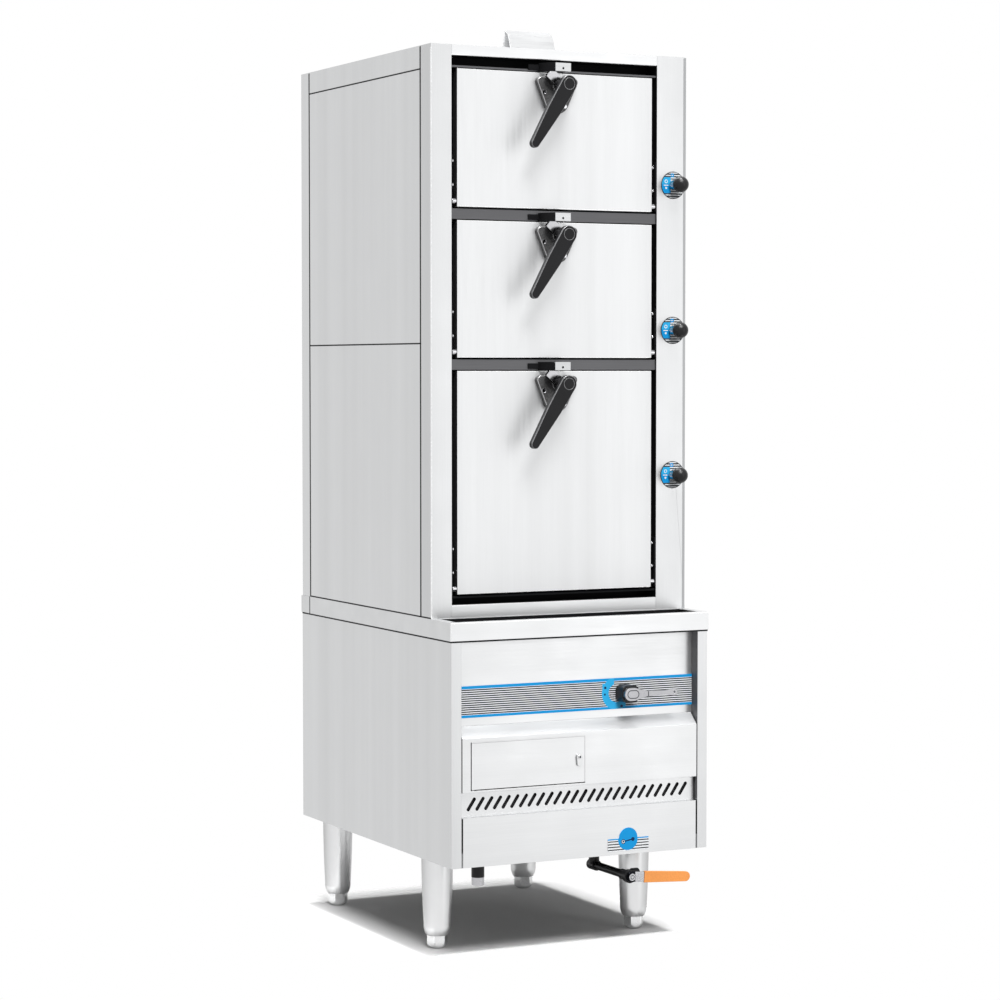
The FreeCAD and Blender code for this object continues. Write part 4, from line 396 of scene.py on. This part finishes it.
# Painted highlight: a lighter, glossier steel on the broad rounded edges, standing in for the light they
# catch.
EDGE_HIGHLIGHT = finish("painted_edge_highlight", (0.84, 0.845, 0.85), 1.0, 0.24, EVEN, 0.06)
CORNER = finish("shaded_corner", (0.30, 0.305, 0.31), 1.0, 0.36, UPRIGHT, 0.05)
PLAIN = finish("plain_stainless", (0.60, 0.605, 0.61), 1.0, 0.28, UPRIGHT, 0.05)
RAIL = finish("shaded_rail", (0.10, 0.10, 0.105), 0.7, 0.42, LEVEL, 0.08)
DARK = finish(
    "shaded_dark", (0.010, 0.010, 0.011), 0.0, 0.55, LEVEL, 0.12, Specular_IOR_Level=0.04
)
JAMB = finish("shaded_steel", (0.12, 0.12, 0.125), 0.8, 0.42, UPRIGHT, 0.08)
FRAME = finish("frame_steel", (0.22, 0.225, 0.23), 0.3, 0.55, EVEN, 0.12)
ZINC = finish("galvanised", (0.60, 0.61, 0.62), 0.9, 0.45, (60, 60, 60), 0.12)
RUBBER = finish(
    "black_rubber", (0.012, 0.012, 0.013), 0.0, 0.62, EVEN, 0.25, bump=0.2, Specular_IOR_Level=0.2
)
WOOL = finish("mineral_wool", (0.62, 0.55, 0.30), 0.0, 0.95, (900, 200, 900), 0.25, bump=0.8)
BRASS = finish("brass", (0.62, 0.44, 0.20), 1.0, 0.36, EVEN, 0.10)
PIPE = finish(
    "black_pipe", (0.012, 0.012, 0.013), 0.0, 0.34, EVEN, 0.25, bump=0.15, Specular_IOR_Level=0.25
)
BRIGHT = finish("bright_metal", (0.50, 0.50, 0.515), 1.0, 0.16, EVEN, 0.05, rim=0.25)
STRIKE = finish("strike_steel", (0.42, 0.425, 0.43), 1.0, 0.30, LEVEL, 0.05)
CASTING = finish(
    "dark_casting", (0.085, 0.085, 0.086), 0.3, 0.42, EVEN, 0.45, bump=0.4, Specular_IOR_Level=0.4
)
# Painted highlight: a lighter copy of the casting for its slanted faces, where they catch the light.
CAST_EDGE = finish("casting_slant_highlight", (0.50, 0.50, 0.505), 0.8, 0.34, EVEN, 0.15, bump=0.2)
HANDLE = finish(
    "black_handle", (0.008, 0.008, 0.009), 0.0, 0.34, EVEN, 0.25, bump=0.2, Specular_IOR_Level=0.16
)
# Painted highlight: a lighter copy of the handle plastic for slanted faces and the cap rings, where they
# catch the light.
HANDLE_EDGE = finish(
    "handle_slant_highlight", (0.13, 0.13, 0.135), 0.0, 0.28, EVEN, 0.2, bump=0.1, Specular_IOR_Level=0.8
)
KNOB = finish("black_knob", (0.006, 0.006, 0.007), 0.0, 0.36, EVEN, 0.2, Specular_IOR_Level=0.3)
GRIP = finish("orange_grip", (0.80, 0.30, 0.07), 0.0, 0.42, EVEN, 0.08, bump=0.2)
DIAL = finish("dial_print", WHITE, 0.0, 0.4, UPRIGHT, 0.02, inks=dial_inks, Specular_IOR_Level=0.15)
BAND = finish("band_print", WHITE, 0.0, 0.4, LEVEL, 0.02, inks=band_inks, Specular_IOR_Level=0.15)
DRAIN_PRINT = finish(
    "drain_print", WHITE, 0.0, 0.4, LEVEL, 0.02, inks=drain_inks, Specular_IOR_Level=0.15
)
BY_SLOT = {
    "satin_stainless": SATIN,
    "plain_stainless": PLAIN,
    "dark_steel": RAIL,
    "frame_steel": FRAME,
    "galvanised": ZINC,
    "black_rubber": RUBBER,
    "mineral_wool": WOOL,
    "brass": BRASS,
    "black_pipe": PIPE,
    "bright_metal": BRIGHT,
    "dark_casting": CASTING,
    "black_handle": HANDLE,
    "black_knob": KNOB,
    "orange_grip": GRIP,
    "printed_plate": BAND,
}


# Recutting the CAD shapes with rounded edges
def solid_from(points, loops):
    """A bmesh of one closed solid."""
    edit = bmesh.new()
    corners = {}
    for loop in loops:
        for number in loop:
            if number not in corners:
                corners[number] = edit.verts.new(points[number])
        face = [corners[number] for number in loop]
        if edit.faces.get(face) is None:
            edit.faces.new(face)
    return edit


def join_flat(edit):
    """Joins facets that lie in one plane."""
    bmesh.ops.dissolve_limit(
        edit, angle_limit=FLAT_ANGLE, verts=edit.verts[:], edges=edit.edges[:], use_dissolve_boundaries=False
    )


def solids_of(node):
    """A CAD node's closed solids: a run of faces ends where no edge is left open."""
    mesh = NODES[node].data
    known, points, numbers = {}, [], []
    for vertex in mesh.vertices:
        key = tuple(round(c / SAME_PLACE) for c in vertex.co)
        if key not in known:
            known[key] = len(points)
            points.append(vertex.co.copy())
        numbers.append(known[key])
    solids, loops = [], []
    waiting, left = Counter(), 0
    for face in mesh.polygons:
        loop = [numbers[v] for v in face.vertices]
        if len(set(loop)) < len(loop):
            continue
        loops.append(loop)
        for a, b in zip(loop, loop[1:] + loop[:1]):
            if waiting[b, a]:
                waiting[b, a] -= 1
                left -= 1
            else:
                waiting[a, b] += 1
                left += 1
        if not left:
            solids.append(solid_from(points, loops))
            loops = []
    return solids


def fused(node):
    """A CAD node's solids joined into one bmesh where they touch, in triangles."""
    holders = []
    for edit in solids_of(node):
        mesh = bpy.data.meshes.new("part")
        edit.to_mesh(mesh)
        edit.free()
        holder = bpy.data.objects.new("part", mesh)
        bpy.context.scene.collection.objects.link(holder)
        holders.append(holder)
    for other in holders[1:]:
        join = holders[0].modifiers.new("join", "BOOLEAN")
        join.operation = "UNION"
        join.solver = "EXACT"
        join.object = other
    graph = bpy.context.evaluated_depsgraph_get()
    edit = bmesh.new()
    edit.from_mesh(holders[0].evaluated_get(graph).to_mesh())
    for holder in holders:
        bpy.data.objects.remove(holder)
    bmesh.ops.remove_doubles(edit, verts=edit.verts[:], dist=SAME_PLACE)
    join_flat(edit)
    bmesh.ops.triangulate(edit, faces=edit.faces[:])
    return [edit]


def breadth(face):
    """About the narrow width of a long face."""
    return 2 * face.calc_area() / face.calc_perimeter()


def sharp_edges(edit):
    edit.normal_update()
    return [e for e in edit.edges if len(e.link_faces) == 2 and e.calc_face_angle(0) > SHARP_ANGLE]


def round_off(edit, edges, width, material):
    if edges and width:
        bmesh.ops.bevel(
            edit,
            geom=edges,
            offset=width,
            offset_type="OFFSET",
            segments=ROUND_STEPS,
            profile=0.5,
            affect="EDGES",
            clamp_overlap=False,
            material=material,
        )


def set_normals(mesh):
    """Flat faces stay flat and the narrow faces round their edges blend into them."""
    faces = mesh.polygons
    around = [[] for _ in mesh.vertices]
    for face in faces:
        for v in face.vertices:
            around[v].append(face.index)
    given = [(face.normal.copy(), face.area) for face in faces]
    normals = []
    for face in faces:
        own = given[face.index][0]
        for v in face.vertices:
            total = Vector()
            for other in around[v]:
                normal, area = given[other]
                if normal.dot(own) > BLEND_COS:
                    total += normal * area
            normals.append(total.normalized() if total.length > 0 else own)
    mesh.normals_split_custom_set(normals)


def show(name, edit, body, materials):
    """Makes a shown piece of a bmesh; it moves with the given body."""
    mesh = bpy.data.meshes.new(name)
    edit.to_mesh(mesh)
    edit.free()
    for material in materials:
        mesh.materials.append(material)
    set_normals(mesh)
    piece = bpy.data.objects.new(name, mesh)
    bpy.context.scene.collection.objects.link(piece)
    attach(piece, body)
    return piece


def recut(node, material=None, wide=FOLD, fine=FINE, join=False, splits=(), by_solid=None, edge_highlight=EDGE_HIGHLIGHT):
    """Stands a rounded copy in for a CAD node.

    splits gives (material, test) pairs; a face takes the last one whose test holds.
    by_solid gives a material for each solid in turn.
    """
    base = material or BY_SLOT[SLOT_OF[node]]
    materials = [base, edge_highlight] + [split[0] for split in splits] + list(by_solid or ())
    whole = bmesh.new()
    for count, edit in enumerate(fused(node) if join else solids_of(node)):
        if by_solid:
            for face in edit.faces:
                face.material_index = 2 + len(splits) + count
        broad = [
            e for e in sharp_edges(edit)
            if e.is_convex and min(breadth(face) for face in e.link_faces) > BROAD
        ]
        # Painted highlight: the broad rounded edges take the lighter edge highlight steel.
        round_off(edit, broad, wide, 1 if edge_highlight else -1)
        round_off(edit, sharp_edges(edit), fine, -1)
        edit.normal_update()
        for number, (_, test) in enumerate(splits):
            for face in edit.faces:
                if test(face.calc_center_median() / MM, face.normal):
                    face.material_index = 2 + number
        part = bpy.data.meshes.new("part")
        edit.to_mesh(part)
        edit.free()
        whole.from_mesh(part)
        bpy.data.meshes.remove(part)
    piece = show(node + "_visual", whole, NODES[node]["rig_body"], materials)
    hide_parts(node)
    return piece


def in_opening(place, normal):
    x0, x1, z0, z1 = OPENING
    inside = x0 - 1 < place.x < x1 + 1 and z0 - 1 < place.z < z1 + 1
    return inside and abs(normal.y) < 0.5 and place.y > UPPER_FRONT + 1.5


def on_rail(place, normal):
    return normal.y < -0.9 and OPENING[0] < place.x < OPENING[1]


def on_slope(place, normal):
    return normal.z > 0.3 and normal.y < -0.3


def in_slot(place, normal):
    low, high = GRILLE_LOW + GRILLE_BORDER, GRILLE_HIGH - GRILLE_BORDER
    return abs(normal.y) < 0.9 and abs(place.x) < STILE_EDGE - 6 and low < place.z < high


def on_strike_shade(place, normal):
    """The wing, the back and the screw hole."""
    middle = (STRIKE_LEFT + STRIKE_RIGHT) / 2
    in_hole = abs(place.x - middle) < STRIKE_HOLE / 2 and abs(normal.y) < 0.9 and abs(normal.z) < 0.99
    return place.x < STRIKE_LEFT - 1 or normal.y > 0.5 or in_hole


# Painted light: these faces of the hood take the pale hood end copy.
def on_hood_end(place, normal):
    return abs(normal.x) > 0.7 or normal.y > 0.2 or normal.z < -0.2


def on_knob_neck(place, normal):
    return place.y > UPPER_FRONT - KNOB_NECK_END


def on_slant(place, normal):
    return -0.93 < normal.y < -0.2


def on_door_side(place, normal):
    return abs(normal.x) > 0.9


def on_jamb(place, normal):
    return abs(normal.x) > 0.5 and abs(place.x) < STILE_EDGE + 1


def on_latch_screw(hub):
    def test(place, normal):
        return any(
            math.hypot(place.x - HUB_X - x, place.z - hub - z) < LATCH_SCREW_RADIUS
            for x, z in LATCH_SCREWS
        )

    return test


recut("front_frame", STILES, splits=[(RAILS, on_rail), (DARK, in_opening)])
recut("side_shell")
recut("base_side_panels")
recut("back_panels")
recut("roof_panel", SATIN_LEVEL, join=True)
recut("vent_hood", HOOD, wide=0, splits=[(HOOD_END, on_hood_end)])
recut("rim_deck", RIM, join=True)
recut("gutter_tray", DARK, edge_highlight=None)
recut("control_panel", SATIN_LEVEL)
recut("lower_panel", SATIN_LEVEL, wide=FINE, join=True, splits=[(SLOPE, on_slope)])
recut("apron_panel", SATIN_LEVEL)
recut("vent_grille", SATIN_LEVEL, splits=[(DARK, in_slot)])
recut("base_front_stiles", STILES, splits=[(JAMB, on_jamb)])
recut("access_door", SATIN_LEVEL, wide=0, fine=0)
recut("access_latch", LATCH_METAL, edge_highlight=None)
recut("face_frame", DARK)
recut("divider_rails", wide=0, by_solid=(RAIL, RAIL, RAIL, DARK))
recut("chamber_liners")
recut("shelves")
recut("shelf_runners")
recut("hinge_plates", DARK, edge_highlight=None)
recut("hinge_fasteners")
recut("strikes", STRIKE, splits=[(DARK, on_strike_shade)])
recut("printed_plates", wide=0, fine=0, by_solid=(DIAL, DIAL, DIAL, BAND, DRAIN_PRINT))
recut("foot_sleeves", FEET, wide=0)
recut("foot_adjusters", HEXAGONS, wide=SOFT)
recut("gas_knob", edge_highlight=None)
recut("gas_lever", LEVER_METAL)
recut("drain_pipe", edge_highlight=None)
recut("drain_valve_body", edge_highlight=None)
recut("drain_lever", DRAIN_METAL, edge_highlight=None)
recut("drain_lever_sleeve", wide=SOFT, edge_highlight=None)
recut(
    "water_inlet",
    splits=[
        (PIPE, lambda place, normal: place.z < FEED_BOX_LOW),
        (BRIGHT, lambda place, normal: place.z < INLET_END),
    ],
)
for door in DOORS:
    recut(door + "_door_skin", DOOR_FACE, wide=DOOR_FOLD, splits=[(JAMB, on_door_side)])
    recut(door + "_door_pan", wide=DOOR_FOLD, splits=[(JAMB, on_door_side)])
    recut(door + "_door_gasket", wide=SOFT, edge_highlight=None)
    screws = (BRIGHT, on_latch_screw(HUB_HEIGHTS[door]))
    # Painted highlight: the slanted faces of the latch base and lever take lighter copies of their material.
    recut(door + "_latch_base", splits=[(CAST_EDGE, on_slant), screws], edge_highlight=None)
    recut(door + "_latch_lever", splits=[(HANDLE_EDGE, on_slant)], edge_highlight=None)
    recut(door + "_latch_cam", CAM_METAL)
    recut(door + "_steam_knob", splits=[(BRIGHT, on_knob_neck)], edge_highlight=None)
for node in ("base_frame", "boiler_tank", "burner", "gas_line", "insulation_batts", "steam_manifold"):
    NODES[node].data.materials.clear()
    NODES[node].data.materials.append(BY_SLOT[SLOT_OF[node]])


# Small details, in millimetres
RIM_SHADOW_DROP = 3.4
BEAD_UPRIGHT = 5.6
BEAD_LEVEL = 2.8
CORNER_SHADE_SPAN = (293.6, 299.4)
CAP_RING = ((0.6, 0.0), (0.3, 0.2), (-0.3, 0.2), (-0.6, 0.0))
CAP_RING_STEPS = 48
STRIP_SETBACK = 3.0
SCREEN_SETBACK = 17.0
REAR_SCREW_X = 266.0
REAR_SCREW_HEIGHTS = (240.0, 440.0, 640.0, 760.0, 1120.0, 1480.0, 1840.0)
REAR_SCREW_HEAD = ((3.8, 0.0), (3.6, 0.7), (2.6, 1.2), (1.2, 1.4))
REAR_SCREW_STEPS = 20


def box(edit, x0, x1, y0, y1, z0, z1):
    """Adds a box given in millimetres."""
    made = bmesh.ops.create_cube(edit, size=1.0)["verts"]
    for vertex in made:
        for axis, (low, high) in enumerate(((x0, x1), (y0, y1), (z0, z1))):
            vertex.co[axis] = (low if vertex.co[axis] < 0 else high) * MM


def ring_points(edit, x, y, z, radius, steps):
    """Adds points on a circle round an axis along y, in millimetres."""
    points = []
    for i in range(steps):
        a = 2 * math.pi * i / steps
        place = (x + radius * math.cos(a), y, z + radius * math.sin(a))
        points.append(edit.verts.new([c * MM for c in place]))
    return points


def join_rings(edit, lower, upper):
    for i in range(len(lower)):
        j = (i + 1) % len(lower)
        edit.faces.new((lower[i], lower[j], upper[j], upper[i]))


def rim_shadow_strip():
    """A thin dark strip under the rim along the sides and the front: painted shadow of the rim's overhang.
    """
    edit = bmesh.new()
    low, high = RIM_LOW - RIM_SHADOW_DROP, RIM_LOW + 0.5
    back = BODY_BACK - 1.0
    for side in (-1, 1):
        x0, x1 = sorted((side * (BODY_SIDE - 0.5), side * (BODY_SIDE + 1.0)))
        box(edit, x0, x1, BASE_FRONT, back, low, high)
    x = BODY_SIDE + 1.0
    box(edit, -x, x, BASE_FRONT - 1.0, BASE_FRONT + 1.0, low, high)
    round_off(edit, sharp_edges(edit), FINE, -1)
    show("rim_shadow_strip", edit, NODES["rim_deck"]["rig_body"], [RUBBER])


def side_beads():
    """Thin dark beads along the seams of the upper cabinet's sides."""
    edit = bmesh.new()
    low, high = RIM_TOP, CABINET_TOP - 2.0
    front_seam = UPPER_FRONT + SIDE_POST + SEAM / 2
    rear_seam = BODY_BACK - REAR_POST - SEAM / 2
    foot = RIM_TOP + BEAD_LEVEL / 2
    rail = CABINET_TOP - SIDE_TOP_RAIL
    levels = ((foot, UPPER_FRONT + 2.0), (SIDE_SEAM_HEIGHT, front_seam), (rail, front_seam))
    for side in (-1, 1):
        x0, x1 = sorted((side * (BODY_SIDE - 1.0), side * (BODY_SIDE + 0.25)))
        for y in (front_seam, rear_seam):
            box(edit, x0, x1, y - BEAD_UPRIGHT / 2, y + BEAD_UPRIGHT / 2, low, high)
        for z, y in levels:
            box(edit, x0, x1, y, rear_seam, z - BEAD_LEVEL / 2, z + BEAD_LEVEL / 2)
    round_off(edit, sharp_edges(edit), 0.1 * MM, -1)
    show("side_beads", edit, NODES["side_shell"]["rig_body"], [RUBBER])


def corner_shade_strip():
    """A thin dark strip along the outer edge of the right stile: painted shade where its rounded fold turns
    away from the light.
    """
    edit = bmesh.new()
    box(edit, *CORNER_SHADE_SPAN, UPPER_FRONT - 0.4, UPPER_FRONT + 0.5, RIM_TOP + 1.0, CABINET_TOP - 2.0)
    round_off(edit, sharp_edges(edit), 0.2 * MM, -1)
    show("corner_shade_strip", edit, NODES["front_frame"]["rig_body"], [CORNER])


def access_trim():
    """A bright strip that narrows the gap along the top and right of the access door."""
    edit = bmesh.new()
    x0, x1, z0, z1 = ACCESS_DOOR
    y0, y1 = BASE_FRONT, BASE_FRONT + 1.0
    outer = ACCESS_GAP + 0.6
    box(edit, x0, x1 + outer, y0, y1, z1 + 0.4, z1 + outer)
    box(edit, x1 + 0.4, x1 + outer, y0, y1, z0, z1 + 0.4)
    round_off(edit, sharp_edges(edit), 0.1 * MM, -1)
    show("access_trim", edit, NODES["lower_panel"]["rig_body"], [SATIN_LEVEL])


def cap_rings():
    """A thin raised ring round the cap on each latch lever, in the lighter handle plastic: painted
    highlight.
    """
    for door in DOORS:
        node = door + "_latch_lever"
        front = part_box(node)[0].y / MM
        z = HUB_HEIGHTS[door]
        edit = bmesh.new()
        rings = [
            ring_points(edit, HUB_X, front - rise, z, LEVER_CAP_RADIUS + out, CAP_RING_STEPS)
            for out, rise in CAP_RING
        ]
        for lower, upper in zip(rings, rings[1:] + rings[:1]):
            join_rings(edit, lower, upper)
        bmesh.ops.recalc_face_normals(edit, faces=edit.faces[:])
        show(door + "_cap_ring", edit, NODES[node]["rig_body"], [HANDLE_EDGE])


def shade_strips():
    """Black strips behind the side slits of the lower panels, and a black screen behind the grille: painted
    shade where they look into the dark inside.
    """
    edit = bmesh.new()
    y = BASE_FRONT + STRIP_SETBACK
    for side in (-1, 1):
        x0, x1 = sorted((side * (STILE_EDGE - 7.0), side * (STILE_EDGE + 1.0)))
        for z0, z1 in ((APRON_LOW, GRILLE_LOW), (GRILLE_HIGH, LOWER_PANEL_HIGH)):
            box(edit, x0, x1, y, y + 1.0, z0, z1)
    x = STILE_EDGE - 4.0
    y = BASE_FRONT + SCREEN_SETBACK
    box(edit, -x, x, y, y + 1.0, GRILLE_LOW - 4, GRILLE_HIGH + 4)
    round_off(edit, sharp_edges(edit), 0.2 * MM, -1)
    show("shade_strips", edit, NODES["vent_grille"]["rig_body"], [RUBBER])


def rear_screws():
    """Round-headed screws along the upright edges of the rear panels."""
    edit = bmesh.new()
    for x in (-REAR_SCREW_X, REAR_SCREW_X):
        for z in REAR_SCREW_HEIGHTS:
            rings = [
                ring_points(edit, x, BODY_BACK + rise, z, radius, REAR_SCREW_STEPS)
                for radius, rise in REAR_SCREW_HEAD
            ]
            for lower, upper in zip(rings[:-1], rings[1:]):
                join_rings(edit, lower, upper)
            edit.faces.new(rings[-1])
    bmesh.ops.recalc_face_normals(edit, faces=edit.faces[:])
    show("rear_screws", edit, NODES["back_panels"]["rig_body"], [PLAIN])


rim_shadow_strip()
side_beads()
corner_shade_strip()
access_trim()
cap_rings()
shade_strips()
rear_screws()


# Stage, light and camera
WORLD_DIFFUSE = 0.25
FLOOR_HALF = 6.0
FLOOR_TONE = (0.74, 0.74, 0.74, 1.0)
# Where the floor starts and ends its fade to clear, in metres from the middle
FLOOR_SIDE = (0.34, 0.42)
FLOOR_BACK = (0.43, 0.50)
FLOOR_FRONT = (0.240, 0.262)


def world_light():
    """White to the camera and to reflections, and a plain soft grey to everything else."""
    world = bpy.data.worlds.new("studio")
    bpy.context.scene.world = world
    world.use_nodes = True
    tree = world.node_tree
    back = tree.nodes["Background"]
    back.inputs["Color"].default_value = (1, 1, 1, 1)
    path = tree.nodes.new("ShaderNodeLightPath")
    seen, mirrored, passed = [
        Term(tree, path.outputs[name])
        for name in ("Is Camera Ray", "Is Glossy Ray", "Is Transmission Ray")
    ]
    white = seen | mirrored | passed
    strength = white * (1 - WORLD_DIFFUSE) + WORLD_DIFFUSE
    tree.links.new(strength.socket, back.inputs["Strength"])


def area_lamp(name, place, target, size, power):
    lamp = bpy.data.lights.new(name, "AREA")
    lamp.shape = "RECTANGLE"
    lamp.size, lamp.size_y = size
    lamp.energy = power
    holder = bpy.data.objects.new(name, lamp)
    holder.location = place
    holder.rotation_euler = (Vector(target) - Vector(place)).to_track_quat("-Z", "Y").to_euler()
    bpy.context.scene.collection.objects.link(holder)


def sun_lamp(name, towards, spread, power):
    """Even light that falls along a direction."""
    lamp = bpy.data.lights.new(name, "SUN")
    lamp.energy = power
    lamp.angle = math.radians(spread)
    holder = bpy.data.objects.new(name, lamp)
    holder.location = (0, 0, 5)
    holder.rotation_euler = Vector(towards).to_track_quat("-Z", "Y").to_euler()
    bpy.context.scene.collection.objects.link(holder)


def smooth(tree, value, low, high):
    """Rises smoothly from 0 to 1 as a value in millimetres goes from low to high, in metres."""
    fade = tree.nodes.new("ShaderNodeMapRange")
    fade.interpolation_type = "SMOOTHSTEP"
    fade.inputs["From Min"].default_value = low / MM
    fade.inputs["From Max"].default_value = high / MM
    tree.links.new(value.socket, fade.inputs["Value"])
    return Term(tree, fade.outputs["Result"])


def floor():
    """A pale floor that shows the shadow under the cabinet and clears to white round it."""
    mesh = bpy.data.meshes.new("floor")
    edit = bmesh.new()
    bmesh.ops.create_grid(edit, x_segments=1, y_segments=1, size=FLOOR_HALF)
    edit.to_mesh(mesh)
    edit.free()
    piece = bpy.data.objects.new("floor", mesh)
    bpy.context.scene.collection.objects.link(piece)
    made = bpy.data.materials.new("floor")
    made.use_nodes = True
    tree = made.node_tree
    tree.nodes.clear()
    out = tree.nodes.new("ShaderNodeOutputMaterial")
    matt = tree.nodes.new("ShaderNodeBsdfDiffuse")
    matt.inputs["Color"].default_value = FLOOR_TONE
    clear = tree.nodes.new("ShaderNodeBsdfTransparent")
    x, y, z = place_terms(tree)
    away = smooth(tree, abs(x), *FLOOR_SIDE) | smooth(tree, y, *FLOOR_BACK)
    away = away | smooth(tree, y * -1, *FLOOR_FRONT)
    mix = tree.nodes.new("ShaderNodeMixShader")
    tree.links.new(away.socket, mix.inputs[0])
    tree.links.new(matt.outputs[0], mix.inputs[1])
    tree.links.new(clear.outputs[0], mix.inputs[2])
    tree.links.new(mix.outputs[0], out.inputs["Surface"])
    mesh.materials.append(made)


def camera():
    data = bpy.data.cameras.new("camera")
    data.sensor_width = SENSOR
    data.lens = CAMERA_LENS
    data.clip_end = 50
    holder = bpy.data.objects.new("camera", data)
    holder.location = CAMERA_PLACE
    holder.rotation_euler = (math.radians(90 - CAMERA_PITCH), 0, math.radians(CAMERA_TURN))
    bpy.context.scene.collection.objects.link(holder)
    bpy.context.scene.camera = holder


world_light()
area_lamp("front_light", (2.0, -4.0, 1.3), (0.1, -0.3, 1.0), (1.1, 3.6), 17)
sun_lamp("floor_light", (0, 0, -1), 9, 3.4)
sun_lamp("high_light", (0.12, 0.56, -0.82), 26, 4.2)
floor()
camera()
bpy.context.scene.view_settings.view_transform = "Standard"
